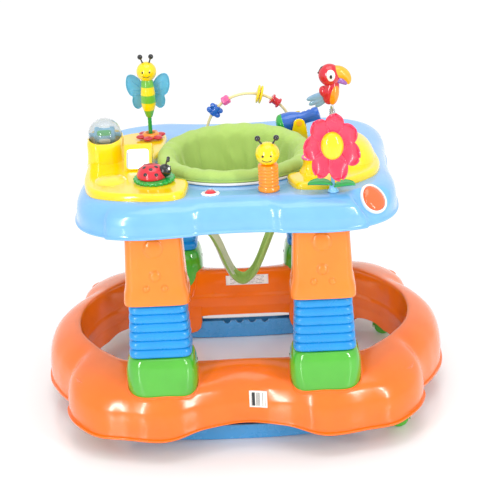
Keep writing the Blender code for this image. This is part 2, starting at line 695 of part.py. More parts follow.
def make_left_panel():
    outline = [(-0.241, 0.070), (-0.250, 0.010), (-0.252, -0.060), (-0.250, -0.140), (-0.236, -0.196),
               (-0.205, -0.226), (-0.165, -0.240), (-0.120, -0.247), (-0.092, -0.240), (-0.080, -0.218)]
    outline += seat_arc(PANEL_CLEAR_R, 237, 150, 8)
    outline += [(-0.124, 0.080), (-0.126, 0.140), (-0.150, 0.158), (-0.190, 0.152), (-0.224, 0.120)]
    left = panel("toy_panel_left", outline)
    bx, by, bz = BALL_AT
    foot = tray_z(by, PANEL_THICK - 0.004)
    rings = [at_height(rounded_rectangle(bx, by, TOWER_HALF_X - d, TOWER_HALF_Y - d, 0.020 - d, 2), z)
             for z, d in ((foot - 0.004, 0.0), (TOWER_TOP - 0.008, 0.0), (TOWER_TOP - 0.002, 0.003),
                          (TOWER_TOP, 0.008))]
    combine(left, cutter("add_tower", loft(rings)), "UNION")
    combine(left, cutter("cut_ball_seat", ball(BALL_AT, BALL_R + 0.0022, u=16, v=10)), "DIFFERENCE")
    mx, my = MIRROR_AT
    deck = tray_z(my, PANEL_THICK)
    half = MIRROR_SIZE / 2 + 0.004
    side = [(my - 0.024, deck - 0.006), (my + 0.026, deck - 0.006), (my + 0.026, deck + WEDGE_RISE),
            (my + 0.014, deck + WEDGE_RISE), (my - 0.024, deck - 0.001)]
    wedge = loft([[Vector((mx + s * half, yy, zz)) for yy, zz in side] for s in (-1, 1)])
    combine(left, cutter("add_wedge", wedge), "UNION")
    slope = math.atan2(WEDGE_RISE + 0.001, 0.038)
    mid = Vector((mx, my - 0.005, deck + WEDGE_RISE / 2 - 0.0005))
    normal = Vector((0, -math.sin(slope), math.cos(slope)))
    bm = bmesh.new()
    spot = mid + normal * (MIRROR_T / 2 + GAP)
    matrix = Matrix.Translation(spot) @ Matrix.Rotation(slope, 4, "X")
    matrix = matrix @ Matrix.Diagonal((MIRROR_SIZE, MIRROR_SIZE, MIRROR_T, 1))
    bmesh.ops.create_cube(bm, size=1, matrix=matrix)
    place("mirror", bm, "silver", spot, 0.05, 1.0)


def make_right_panel():
    outline = [(0.098, -0.206), (0.118, -0.216), (0.150, -0.218), (0.178, -0.205), (0.205, -0.183),
               (0.232, -0.145), (0.242, -0.095), (0.238, -0.035), (0.226, 0.020), (0.204, 0.056),
               (0.178, 0.066), (0.150, 0.054)]
    outline += seat_arc(PANEL_CLEAR_R, 35, -53, 8)
    outline = outline[::-1]
    panel("toy_panel_right", outline[::-1])


# ---------------------------------------------------------------- seat
def seat_frame():
    """Places seat pieces, made about Z, on the sloping tray."""
    axis = Vector((0, TRAY_FALL, 1)).normalized()
    turn = Vector((0, 0, 1)).rotation_difference(axis).to_matrix().to_4x4()
    return Matrix.Translation((0, SEAT_Y, tray_z(SEAT_Y, GAP + 0.0006))) @ turn


def make_seat():
    frame = seat_frame()
    origin = frame.translation.copy()
    barrel_r = HOLE_R - SEAT_CLEAR
    profile = [(SEAT_BORE_R, SEAT_FLANGE_T), (SEAT_BORE_R, -SEAT_BARREL), (barrel_r, -SEAT_BARREL), (barrel_r, 0),
               (SEAT_FLANGE_R, 0), (SEAT_FLANGE_R, SEAT_FLANGE_T)]
    bm = turned(profile, 28)
    bm.transform(frame)
    place("seat_ring", bm, "white", origin)

    low = SEAT_FLANGE_T + GAP
    mid_r = (RIM_OUT_R + RIM_IN_R) / 2
    profile = [(RIM_IN_R + 0.003, low), (RIM_OUT_R - 0.003, low), (RIM_OUT_R, low + 0.4 * RIM_HEIGHT),
               (RIM_OUT_R - 0.005, low + 0.85 * RIM_HEIGHT), (mid_r, low + RIM_HEIGHT),
               (RIM_IN_R + 0.005, low + 0.85 * RIM_HEIGHT), (RIM_IN_R, low + 0.4 * RIM_HEIGHT)]
    bm = turned(profile, 28)
    for v in bm.verts:
        share = max(0.0, (v.co.z - low) / RIM_HEIGHT)
        v.co.z += RIM_REAR_LIFT * share * max(0.0, 0.35 + v.co.y / RIM_OUT_R) / 1.35
    bm.transform(frame)
    place("seat_rim_pad", bm, "lime", origin, 0.9)

    top_out = BAND_TOP_R
    profile = [(top_out, SEAT_FLANGE_T), (top_out - BAND_WALL, SEAT_FLANGE_T),
               (BAND_BOTTOM_R + 0.008 - BAND_WALL, -0.55 * BAND_HEIGHT), (BAND_BOTTOM_R - BAND_WALL, -BAND_HEIGHT),
               (BAND_BOTTOM_R, -BAND_HEIGHT), (BAND_BOTTOM_R + 0.008, -0.55 * BAND_HEIGHT)]
    bm = turned(profile, 28)
    bm.transform(frame)
    place("seat_band", bm, "lime", origin, 0.9)

    end_r = BAND_BOTTOM_R - 0.004
    top = -BAND_HEIGHT - GAP
    route = [(-end_r, top - 0.002), (-0.060, top - 0.010), (-0.036, top - 0.045), (-0.018, top - 0.095),
             (0.004, -SLING_DROP + 0.004), (0.028, top - 0.092), (0.046, top - 0.045), (0.064, top - 0.010),
             (end_r, top - 0.002)]
    rings = []
    half = SLING_WIDTH / 2
    for i, (px, pz) in enumerate(route):
        before = Vector(route[max(0, i - 1)])
        after = Vector(route[min(len(route) - 1, i + 1)])
        along = (after - before).normalized()
        normal = Vector((-along.y, along.x)) * SLING_THICK / 2
        a, b = Vector((px, pz)) + normal, Vector((px, pz)) - normal
        rings.append([Vector((a.x, -half, a.y)), Vector((a.x, half, a.y)), Vector((b.x, half, b.y)),
                      Vector((b.x, -half, b.y))])
    for ring in (rings[0], rings[-1]):
        for p in ring:
            p.z = min(p.z, top)
    bm = loft(rings)
    bm.transform(frame)
    place("crotch_sling", bm, "lime", origin, 0.9)


# ---------------------------------------------------------------- left toys
def make_picture_ball():
    port = math.degrees(math.asin(BALL_PORT_R / BALL_R))
    outside, inside = [], []
    inner_r = BALL_R - BALL_WALL
    inner_port = math.degrees(math.asin(BALL_PORT_R / inner_r))
    for k in range(8):
        a = math.radians(port + (180 - 2 * port) * k / 7)
        outside.append((BALL_R * math.sin(a), -BALL_R * math.cos(a)))
        a = math.radians(inner_port + (180 - 2 * inner_port) * k / 7)
        inside.append((inner_r * math.sin(a), -inner_r * math.cos(a)))
    bm = turned(outside + inside[::-1], 16, BALL_AT, (1, 0, 0))
    place("picture_ball", bm, "clear", BALL_AT, 0.05)
    stub = BALL_R - 0.0012
    half = 0.017
    profile = [(0, -stub), (BALL_PORT_R - RUN_CLEAR, -stub), (BALL_PORT_R - RUN_CLEAR, -half), (DRUM_R, -half),
               (DRUM_R, half), (BALL_PORT_R - RUN_CLEAR, half), (BALL_PORT_R - RUN_CLEAR, stub), (0, stub)]
    place("picture_drum", turned(profile, 12, BALL_AT, (1, 0, 0)), "blue", BALL_AT)


def make_bee():
    x, y = BEE_AT
    deck = tray_z(y, PANEL_THICK)
    foot = deck + GAP + TRAY_FALL * BEE_BASE_R
    profile = [(BEE_STEM_R + 0.0008, 0), (BEE_BASE_R, 0), (BEE_BASE_R * 0.96, BEE_BASE_H * 0.5),
               (BEE_BASE_R * 0.5, BEE_BASE_H * 0.8), (BEE_STEM_R + 0.006, BEE_BASE_H),
               (BEE_STEM_R + 0.0035, BEE_BASE_H)]
    place("bee_flower_base", turned(profile, 16, (x, y, foot)), "red", (x, y, foot))
    pivot = (x, y, foot + 0.002)
    stem = turned([(0, 0.001), (BEE_STEM_R, 0.001), (BEE_STEM_R, BEE_TAIL_Z - GAP - foot), (0, BEE_TAIL_Z - GAP - foot)],
                  10, (x, y, foot))
    place("bee_stem", stem, "green", pivot)
    top = BEE_HEAD_Z - 0.8 * BEE_HEAD_R - BEE_TAIL_Z
    profile = [(0, 0), (0.0055, 0), (0.0100, 0.018), (0.0125, 0.036), (0.0125, 0.052), (0.0090, top)]
    for k in range(1, 6):
        a = math.radians(-40 + 130 * k / 6)
        profile.append((BEE_HEAD_R * math.cos(a), BEE_HEAD_Z - BEE_TAIL_Z + BEE_HEAD_R * math.sin(a)))
    profile.append((0, BEE_HEAD_Z - BEE_TAIL_Z + BEE_HEAD_R))
    place("bee_body", turned(profile, 14, (x, y, BEE_TAIL_Z)), "yellow", pivot)
    outline = []
    for k in range(32):
        a = math.tau * k / 32
        reach = (0.024 + 0.018 * abs(math.cos(a)) ** 1.5) * (0.80 + 0.25 * abs(math.sin(2 * a)))
        outline.append((x + reach * math.cos(a), BEE_WING_Z + reach * 1.05 * math.sin(a)))
    back = y + 0.0125 + GAP + 0.0005
    rings = [[Vector((px, yy, pz)) for px, pz in outline] for yy in (back, back + 0.003)]
    place("bee_wings", loft(rings), "sky", pivot)


def make_ladybug():
    x, y = LADYBUG_AT
    foot = tray_z(y, PANEL_THICK + GAP) + TRAY_FALL * DISC_R
    profile = [(0, 0), (DISC_R - 0.002, 0), (DISC_R, 0.001), (DISC_R, DISC_T - 0.001), (DISC_R - 0.002, DISC_T),
               (0, DISC_T)]
    place("ladybug_disc", turned(profile, 20, (x, y, foot)), "green", (x, y, foot))
    seat = foot + DISC_T + GAP
    dome = [(0, 0), (0.94, 0), (1.0, 0.25), (0.93, 0.55), (0.72, 0.82), (0.38, 0.97), (0, 1.0)]
    shell = turned([(LADYBUG_R * r, LADYBUG_H * h) for r, h in dome], 14, (x - 0.004, y, seat))
    shell = place("ladybug_shell", shell, "red", (x, y, seat))
    head_at = (x + 0.0185, y - 0.004, seat + LADYBUG_HEAD_R + 0.001)
    combine(shell, cutter("cut_ladybug_neck", ball(head_at, LADYBUG_HEAD_R + GAP)), "DIFFERENCE")
    place("ladybug_head", ball(head_at, LADYBUG_HEAD_R), "black", (x, y, seat))


# ---------------------------------------------------------------- front toys
def make_gem():
    x, y = GEM_AT
    z = tray_z(y)
    profile = [(0, -GEM_BODY + GEM_PROUD), (GEM_R, -GEM_BODY + GEM_PROUD), (GEM_R, 0.002), (GEM_R * 0.8, 0.0045),
               (GEM_R * 0.45, GEM_PROUD), (0, GEM_PROUD)]
    place("gem_button", turned(profile, 12, (x, y, z)), "red", (x, y, z))


def make_grub():
    x, y = GRUB_AT
    foot = tray_z(y, GAP) + TRAY_FALL * GRUB_R
    pitch = (GRUB_H - 0.006) / GRUB_RIBS
    profile = [(0, 0), (GRUB_R, 0), (GRUB_R, 0.005)]
    for k in range(GRUB_RIBS):
        z = 0.006 + k * pitch
        profile += [(GRUB_R - 0.0028, z), (GRUB_R - 0.0005, z + 0.5 * pitch)]
    profile += [(GRUB_R - 0.0028, GRUB_H), (0, GRUB_H)]
    place("grub_body", turned(profile, 14, (x, y, foot)), "light_orange", (x, y, foot))
    head = (x, y, foot + GRUB_H + GAP + GRUB_HEAD_R * 0.88)
    bm = ball(head, GRUB_HEAD_R, u=14, v=8)
    low = foot + GRUB_H + GAP
    bmesh.ops.bisect_plane(bm, geom=bm.verts[:] + bm.edges[:] + bm.faces[:], plane_co=(x, y, low),
                           plane_no=(0, 0, -1), clear_outer=True)
    bmesh.ops.holes_fill(bm, edges=[e for e in bm.edges if e.is_boundary])
    place("grub_head", bm, "yellow", head)


# ---------------------------------------------------------------- rear toys
def wire_centre():
    x, y = WIRE_AT
    return Vector((x, y, tray_z(y, 0.0015)))


def on_wire(angle):
    a = math.radians(angle)
    return wire_centre() + WIRE_ARC_R * Vector((math.cos(a), 0, math.sin(a)))


def make_bead_toy():
    centre = wire_centre()
    rings = []
    start = 1.0
    for k in range(20):
        a = math.radians(start + (180 - 2 * start) * k / 19)
        outward = Vector((math.cos(a), 0, math.sin(a)))
        ring = []
        for s in range(6):
            b = math.tau * s / 6
            ring.append(centre + outward * (WIRE_ARC_R + WIRE_R * math.cos(b)) + Vector((0, WIRE_R * math.sin(b), 0)))
        rings.append(ring)
    wire = place("bead_wire", loft(rings), "cream", centre)
    for side in (-1, 1):
        x = centre.x + side * WIRE_ARC_R
        low = tray_z(centre.y, GAP) + TRAY_FALL * WIRE_FOOT_R
        foot = turned([(0, 0), (WIRE_FOOT_R, 0), (WIRE_FOOT_R, 0.002), (WIRE_FOOT_R * 0.6, 0.006), (0, 0.006)], 14,
                      (x, centre.y, low))
        combine(wire, cutter(f"add_wire_foot_{'left' if side < 0 else 'right'}", foot), "UNION")
    hole = WIRE_R + BEAD_CLEAR

    def bead(name, angle, half, profile, colour, steps=12):
        a = math.radians(angle)
        tangent = (-math.sin(a), 0, math.cos(a))
        full = [(hole, -half)] + profile + [(hole, half)]
        place(name, turned(full, steps, on_wire(angle), tangent), colour, centre)

    bead("bead_butterfly", BUTTERFLY_ANGLE, 0.0095, [(0.008, -0.0095), (0.0125, -0.006), (0.0075, 0),
                                                      (0.0125, 0.006), (0.008, 0.0095)], "blue")
    bead("bead_pink", PINK_ANGLE, 0.0070, [(0.007, -0.0070), (0.0085, -0.005), (0.0085, 0.005), (0.007, 0.0070)],
         "pink")
    bead("bead_yellow", YELLOW_ANGLE, 0.0060, [(0.010, -0.0060), (0.0165, -0.0035), (0.0165, 0.0035),
                                                (0.010, 0.0060)], "yellow", 16)
    bead("bead_spool", SPOOL_ANGLE, 0.0085, [(0.0095, -0.0085), (0.0095, -0.005), (0.0065, -0.003),
                                              (0.0065, 0.003), (0.0095, 0.005), (0.0095, 0.0085)], "red")


def make_telescope():
    centre = Vector(SCOPE_AT)
    tilt = math.radians(SCOPE_TILT)
    along = Vector((math.cos(tilt), 0, math.sin(tilt)))
    length = SCOPE_HALF_LENGTH
    profile = [(0, -length), (SCOPE_WIDE_R * 0.9, -length), (SCOPE_WIDE_R, -length + 0.002),
               (SCOPE_WIDE_R, -length + 0.008), (SCOPE_WIDE_R * 0.9, -length + 0.010), (SCOPE_WIDE_R * 0.9, -0.010),
               (SCOPE_NARROW_R, 0.010), (SCOPE_NARROW_R, length - 0.003), (SCOPE_NARROW_R * 0.7, length), (0, length)]
    scope = place("telescope_barrel", turned(profile, 14, centre, along), "blue", centre)
    inner = SCOPE_WIDE_R + CHEEK_CLEAR
    outer = inner + CHEEK_T
    pins = rod(centre - Vector((0, outer, 0)), centre + Vector((0, outer, 0)), SCOPE_PIN_R, 14)
    combine(scope, cutter("add_scope_pins", pins), "UNION")
    low = tray_z(centre.y, GAP) + TRAY_FALL * outer
    cradle = place("telescope_cradle", box(centre.x - 0.012, centre.x + 0.012, centre.y - outer, centre.y + outer,
                                           low, centre.z + 0.008), "yellow", (centre.x, centre.y, low))
    combine(cradle, cutter("cut_cradle", box(centre.x - 0.02, centre.x + 0.02, centre.y - inner, centre.y + inner,
                                             low + 0.0035, centre.z + 0.02)), "DIFFERENCE")
    eye = rod(centre - Vector((0, 0.05, 0)), centre + Vector((0, 0.05, 0)), SCOPE_PIN_R + RUN_CLEAR, 14)
    combine(cradle, cutter("cut_cradle_eyes", eye), "DIFFERENCE")


# ---------------------------------------------------------------- right toys
def flower_front():
    return FLOWER_AT[1] - FLOWER_STEM_R - 0.0045


def make_flower():
    x, y = FLOWER_AT
    front = flower_front()
    count = FLOWER_LOBES * 4
    lobed = []
    for k in range(count):
        a = math.tau * k / count
        reach = FLOWER_R - FLOWER_LOBE_DEPTH * (1 - abs(math.sin(FLOWER_LOBES * a / 2)))
        lobed.append((reach * math.cos(a), reach * math.sin(a)))

    def ring(scale, depth, radius=None):
        out = []
        for px, pz in lobed:
            q = Vector((px, pz))
            q = q * scale if radius is None else q.normalized() * radius
            out.append(Vector((x + q.x, front - depth, FLOWER_Z + q.y)))
        return out

    rings = [ring(0.95, 0), ring(1.0, FLOWER_T * 0.4), ring(0.93, FLOWER_T), ring(0, FLOWER_T, HEART_R),
             ring(0, FLOWER_T + HEART_PROUD * 0.7, HEART_R * 0.75), ring(0, FLOWER_T + HEART_PROUD, HEART_R * 0.35)]
    hub = (x, front, FLOWER_Z)
    place("flower_head", loft(rings), "red", hub)
    foot = tray_z(y, GAP) + TRAY_FALL * 0.008
    stem = turned([(0, 0), (0.008, 0), (0.008, 0.003), (FLOWER_STEM_R, 0.005), (FLOWER_STEM_R, FLOWER_Z + 0.004 - foot),
                   (0, FLOWER_Z + 0.004 - foot)], 12, (x, y, foot))
    stem = place("flower_stem", stem, "sky", (x, y, foot))
    boss = rod((x, y, FLOWER_Z), (x, front + GAP, FLOWER_Z), 0.0055, 12)
    combine(stem, cutter("add_flower_boss", boss), "UNION")
    for side, lift in ((-1, 0.0), (1, -0.003)):
        outline = []
        for k in range(14):
            a = math.tau * k / 14
            outline.append((LEAF_LENGTH / 2 * math.cos(a), LEAF_WIDTH / 2 * math.sin(a)))
        mid = Vector((x + side * (LEAF_LENGTH / 2 - 0.001), y - 0.006, foot + 0.0175 + lift))
        turn = Matrix.Rotation(math.radians(-6 * side), 4, "Y")
        rings = [[mid + turn @ Vector((px, py, zz)) for px, py in outline] for zz in (0, LEAF_T)]
        combine(stem, cutter(f"add_leaf_{'left' if side < 0 else 'right'}", loft(rings)), "UNION")


def make_parrot():
    x, y = PARROT_AT
    deck = tray_z(y, PANEL_THICK)
    foot = deck + GAP + TRAY_FALL * 0.010
    tall = PARROT_FOOT_Z - GAP - foot
    stem = turned([(0, 0), (0.010, 0), (0.010, 0.003), (PARROT_STEM_R, 0.007), (PARROT_STEM_R, tall), (0, tall)], 14,
                  (x, y, foot))
    place("parrot_stem", stem, "grey", (x, y, foot), 0.3, 1.0)
    pivot = (x, y, PARROT_FOOT_Z)
    lean = Matrix.Rotation(math.radians(12), 4, "Y")
    body = ball((x, y, PARROT_FOOT_Z + 0.024), 0.0240, (0.62, 0.56, 1.0), lean, 10, 7)
    body = place("parrot_body", body, "red", pivot)
    head = (x - 0.003, y, PARROT_HEAD_Z)
    combine(body, cutter("add_parrot_head", ball(head, PARROT_HEAD_R)), "UNION")
    beak = ball((x + 0.018, y, PARROT_HEAD_Z - 0.004), 0.011, (1.1, 0.75, 0.9), Matrix.Identity(4), 10, 6)
    combine(body, cutter("add_parrot_beak", beak), "UNION")
    tail = ball((x - 0.026, y, PARROT_FOOT_Z + 0.014), 0.018, (1.35, 0.4, 0.50),
                Matrix.Rotation(math.radians(-15), 4, "Y"), 10, 6)
    combine(body, cutter("add_parrot_tail", tail), "UNION")
    flat = box(x - 0.02, x + 0.02, y - 0.02, y + 0.02, PARROT_FOOT_Z - 0.03, PARROT_FOOT_Z)
    combine(body, cutter("cut_parrot_foot", flat), "DIFFERENCE")


def oval_frame():
    facing = Vector(OVAL_FACING).normalized()
    across = Vector((-facing.y, facing.x, 0)).normalized()
    up = facing.cross(across)
    turn = Matrix((across, up, facing)).transposed().to_4x4()
    return Matrix.Translation(OVAL_AT) @ turn


def oval_solid(half_wide, half_tall, low, high, matrix, crown=0.0):
    def ring(height, scale=1.0):
        out = []
        for k in range(20):
            a = math.tau * k / 20
            out.append(matrix @ Vector((half_wide * scale * math.cos(a), half_tall * scale * math.sin(a), height)))
        return out
    rings = [ring(low), ring(high)]
    if crown:
        rings += [ring(high + crown * 0.7, 0.85), ring(high + crown, 0.45)]
    return loft(rings)


def make_oval_button():
    matrix = oval_frame()
    bm = oval_solid(OVAL_HALF_WIDE, OVAL_HALF_TALL, OVAL_PROUD - OVAL_BODY - 0.003, OVAL_PROUD - 0.003, matrix, 0.003)
    place("oval_button", bm, "orange", OVAL_AT)


def make_rattle():
    x, y = RATTLE_AT
    foot = tray_z(y, PANEL_THICK + GAP) + TRAY_FALL * 0.008
    profile = [(0, 0), (0.008, 0), (0.008, 0.002), (RATTLE_POST_R, 0.004), (RATTLE_POST_R, 0.010)]
    low = 0.008 + RATTLE_R
    for k in range(1, 8):
        a = math.radians(-70 + 160 * k / 8)
        profile.append((RATTLE_R * math.cos(a), low + RATTLE_R * math.sin(a)))
    profile.append((0, low + RATTLE_R))
    place("rattle_ball", turned(profile, 14, (x, y, foot)), "orange", (x, y, foot))


# ---------------------------------------------------------------- build
def main():
    for obj in list(bpy.data.objects):
        bpy.data.objects.remove(obj, do_unlink=True)
    make_base()
    for name, sx, sy in corners():
        make_bulb(name, sx, sy)
        make_column(name, sx, sy)
        make_sleeve(name, sx, sy)
        make_caster(name, sx, sy)
    make_rocker("front", -1)
    make_rocker("rear", 1)
    make_tray()
    make_left_panel()
    make_right_panel()
    make_seat()
    make_picture_ball()
    make_bee()
    make_ladybug()
    make_gem()
    make_grub()
    make_bead_toy()
    make_telescope()
    make_flower()
    make_parrot()
    make_oval_button()
    make_rattle()


main()
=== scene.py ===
import math

import bmesh
import bpy
from bpy.props import FloatProperty, FloatVectorProperty, IntProperty, PointerProperty
from mathutils import Matrix, Vector, noise
from mathutils.bvhtree import BVHTree


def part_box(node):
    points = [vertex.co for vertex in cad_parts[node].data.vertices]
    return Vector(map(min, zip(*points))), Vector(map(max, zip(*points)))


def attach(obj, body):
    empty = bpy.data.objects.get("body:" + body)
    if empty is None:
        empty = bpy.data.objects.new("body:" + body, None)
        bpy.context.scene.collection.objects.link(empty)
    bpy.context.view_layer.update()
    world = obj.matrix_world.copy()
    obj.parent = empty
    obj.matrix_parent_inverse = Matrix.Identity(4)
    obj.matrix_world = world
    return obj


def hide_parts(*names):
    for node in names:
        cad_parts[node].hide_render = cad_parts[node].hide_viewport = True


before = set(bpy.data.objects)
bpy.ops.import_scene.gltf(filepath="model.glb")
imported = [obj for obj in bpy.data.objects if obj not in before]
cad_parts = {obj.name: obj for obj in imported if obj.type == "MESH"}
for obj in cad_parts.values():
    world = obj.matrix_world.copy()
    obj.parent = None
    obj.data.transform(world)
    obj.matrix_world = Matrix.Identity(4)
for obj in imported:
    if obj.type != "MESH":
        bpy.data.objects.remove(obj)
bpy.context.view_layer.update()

bl_info = {
    "name": "Baby walker",
    "version": (1, 0, 0),
    "blender": (4, 5, 0),
    "location": "3D View > Sidebar > Walker",
    "description": "Builds the visible pieces of a baby walker on its fixed frame",
    "category": "Object",
}

# places on the frame, in metres: legs, rockers, casters, tray and seat
CORNERS = (("front_left", -1, -1), ("front_right", 1, -1), ("rear_left", -1, 1), ("rear_right", 1, 1))
LEG_X, LEG_Y = 0.136, 0.227
ROCKER_Y = 0.202
ROCKER_RADIUS = 1.1
POST_X = 0.199
CASTER_X, CASTER_Y = 0.256, 0.186
WHEEL_R = 0.017
RETRACT = 0.034
TRAY_TOP_FRONT = 0.455
TRAY_FRONT = -0.277
TRAY_FALL = 0.0789
TRAY_SKIRT = 0.053
SEAT_Y = -0.045
PANEL_TALL = 0.012
ARCH_R = 0.078
OVAL_AT = Vector((0.222, -0.227, 0.434))
OVAL_FACING = Vector((0.42, -0.62, 0.66)).normalized()


def linear(hexa):
    """An sRGB hex colour as linear red, green, blue."""
    parts = [int(hexa[i:i + 2], 16) / 255 for i in (1, 3, 5)]
    return tuple(c / 12.92 if c <= 0.04045 else ((c + 0.055) / 1.055) ** 2.4 for c in parts)


def size(name, text, default):
    return FloatProperty(name=name, description=text, default=default, min=0.0, unit="LENGTH")


def colour(name, text, hexa):
    return FloatVectorProperty(name=name, description=text, default=linear(hexa), subtype="COLOR",
                               size=3, min=0.0, max=1.0)


# ---------------------------------------------------------------- settings
class WalkerSizes(bpy.types.PropertyGroup):
    wall: size("Shell wall", "Thickness of the moulded base and tray shells", 0.003)
    guard_bottom: size("Guard bottom", "Height of the lower edge of the guards beside the rockers", 0.015)
    rib_depth: size("Rib depth", "Depth of the grooves between a column's ribs", 0.0042)
    boss: size("Leg boss", "How far the tray's skirt swells over each leg", 0.0075)
    fold_depth: size("Fold depth", "Depth of the gathers in the seat cover", 0.0034)
    rim_lift: size("Seat back lift", "How much higher the seat cover stands at the rear", 0.017)
    sling_width: size("Sling width", "Width of the crotch sling's cloth", 0.07)
    wire: size("Bead wire", "Radius of the wire that the beads run on", 0.0026)
    ribs: IntProperty(name="Ribs", description="Number of ribs on each column", default=9, min=3, max=14)


class WalkerColours(bpy.types.PropertyGroup):
    base: colour("Base", "Moulded base ring", "#FF7206")
    sleeve: colour("Sleeves", "Upper leg sleeves", "#FF8416")
    column: colour("Columns", "Ribbed leg columns", "#0E93DC")
    bulb: colour("Bulbs", "Foot bulbs and casters", "#4CB32A")
    rocker: colour("Rockers", "Rocker runners", "#4A9FDC")
    tray: colour("Tray", "Tray shell", "#74B4F0")
    panel: colour("Toy panels", "Yellow toy panels", "#FFD800")
    cloth: colour("Seat cloth", "Seat cover and sling", "#AFCE6E")
    red: colour("Red parts", "Ladybird, parrot and button", "#D3142C")
    petal: colour("Petals", "Flower petals", "#F0355C")
    wing: colour("Wings", "Wings of the bee", "#6CC8F4")
    blue: colour("Dark blue parts", "Telescope and butterfly bead", "#1B62C4")
    leaf: colour("Leaves", "Leaves and the ladybird's disc", "#17A845")


class WalkerStage(bpy.types.PropertyGroup):
    floor: colour("Floor", "Glossy white sweep", "#FFFFFF")
    lens: FloatProperty(name="Lens", description="Focal length of the camera in millimetres", default=132.9,
                        min=20.0, max=300.0)
    strip: FloatProperty(name="Strip lights", description="Power of the two upright strip lights", default=15.0,
                         min=0.0, unit="POWER")
    key: FloatProperty(name="Overhead light", description="Power of the overhead soft light", default=11.0,
                       min=0.0, unit="POWER")


class WalkerSettings(bpy.types.PropertyGroup):
    sizes: PointerProperty(type=WalkerSizes, name="Sizes", description="Sizes of the visible pieces")
    colours: PointerProperty(type=WalkerColours, name="Colours", description="Colours of the finishes")
    stage: PointerProperty(type=WalkerStage, name="Stage", description="Floor, lights and camera")


def settings():
    """The walker's sizes, colours and stage, as set in the sidebar."""
    return bpy.context.scene.baby_walker


# ---------------------------------------------------------------- finishes
def add_node(tree, kind, setup=None, inputs=None):
    """Adds a node, sets its settings, and gives each input a value or a link from (node, output)."""
    node = tree.nodes.new(kind)
    for key, value in (setup or {}).items():
        setattr(node, key, value)
    for key, value in (inputs or {}).items():
        socket = node.inputs[key]
        if isinstance(value, tuple) and value and isinstance(value[0], bpy.types.Node):
            tree.links.new(value[0].outputs[value[1]], socket)
        else:
            socket.default_value = value
    return node


def blank(name):
    """A new material holding its shader, its output and object coordinates."""
    material = bpy.data.materials.new(name)
    material.use_nodes = True
    tree = material.node_tree
    tree.nodes.clear()
    shader = add_node(tree, "ShaderNodeBsdfPrincipled")
    add_node(tree, "ShaderNodeOutputMaterial", None, {"Surface": (shader, "BSDF")})
    coords = add_node(tree, "ShaderNodeTexCoord")
    material.diffuse_color = (0.8, 0.8, 0.8, 1.0)
    return material, tree, shader, coords


def rgba(value, gain=1.0):
    """A colour with alpha, made a little lighter or darker by gain."""
    value = linear(value) if isinstance(value, str) else tuple(value)
    return tuple(min(1.0, c * gain) for c in value[:3]) + (1.0,)


def noise_at(tree, coords, millimetres, detail=2.0):
    """Noise in object space, with features of about the given size."""
    return add_node(tree, "ShaderNodeTexNoise", {"noise_dimensions": "3D"},
                    {"Vector": (coords, "Object"), "Scale": 1000.0 / millimetres, "Detail": detail, "Roughness": 0.55})


def spread(tree, source, low, high):
    """Stretches a noise value over a range."""
    return add_node(tree, "ShaderNodeMapRange", None,
                    {"Value": source, "From Min": 0.3, "From Max": 0.7, "To Min": low, "To Max": high})


def moulded(name, tint, rough=0.17, coat=0.3, grain=0.05, shift=0.07, glow=0.0):
    """ABS, injection moulded and polished: even colour that drifts a little, and a fine skin texture."""
    if name in bpy.data.materials:
        return bpy.data.materials[name]
    material, tree, shader, coords = blank(name)
    cloud = noise_at(tree, coords, 48.0)
    drift = spread(tree, (cloud, "Fac"), 0.0, 1.0)
    mixed = add_node(tree, "ShaderNodeMix", {"data_type": "RGBA"},
                     {"Factor": (drift, "Result"), "A": rgba(tint, 1.0 - shift), "B": rgba(tint, 1.0 + shift * 0.5)})
    tree.links.new(mixed.outputs["Result"], shader.inputs["Base Color"])
    handling = noise_at(tree, coords, 19.0, 3.0)
    dull = spread(tree, (handling, "Fac"), rough - 0.035, rough + 0.055)
    tree.links.new(dull.outputs["Result"], shader.inputs["Roughness"])
    # moulding skin: about 0.3 mm on the real shell, drawn at 1.1 mm so that it shows
    skin = noise_at(tree, coords, 1.1, 1.0)
    sink = noise_at(tree, coords, 33.0, 1.0)
    relief = add_node(tree, "ShaderNodeBump", None,
                      {"Height": (skin, "Fac"), "Strength": grain, "Distance": 0.0004})
    # faint sink marks of a thick moulding
    waves = add_node(tree, "ShaderNodeBump", None,
                     {"Height": (sink, "Fac"), "Strength": 0.1, "Distance": 0.0025, "Normal": (relief, "Normal")})
    tree.links.new(waves.outputs["Normal"], shader.inputs["Normal"])
    shader.inputs["IOR"].default_value = 1.54
    shader.inputs["Coat Weight"].default_value = coat
    shader.inputs["Coat Roughness"].default_value = 0.06
    if glow:
        shader.inputs["Subsurface Weight"].default_value = glow
        shader.inputs["Subsurface Radius"].default_value = (0.006, 0.004, 0.003)
        shader.inputs["Subsurface Scale"].default_value = 1.0
    material.diffuse_color = rgba(tint)
    return material


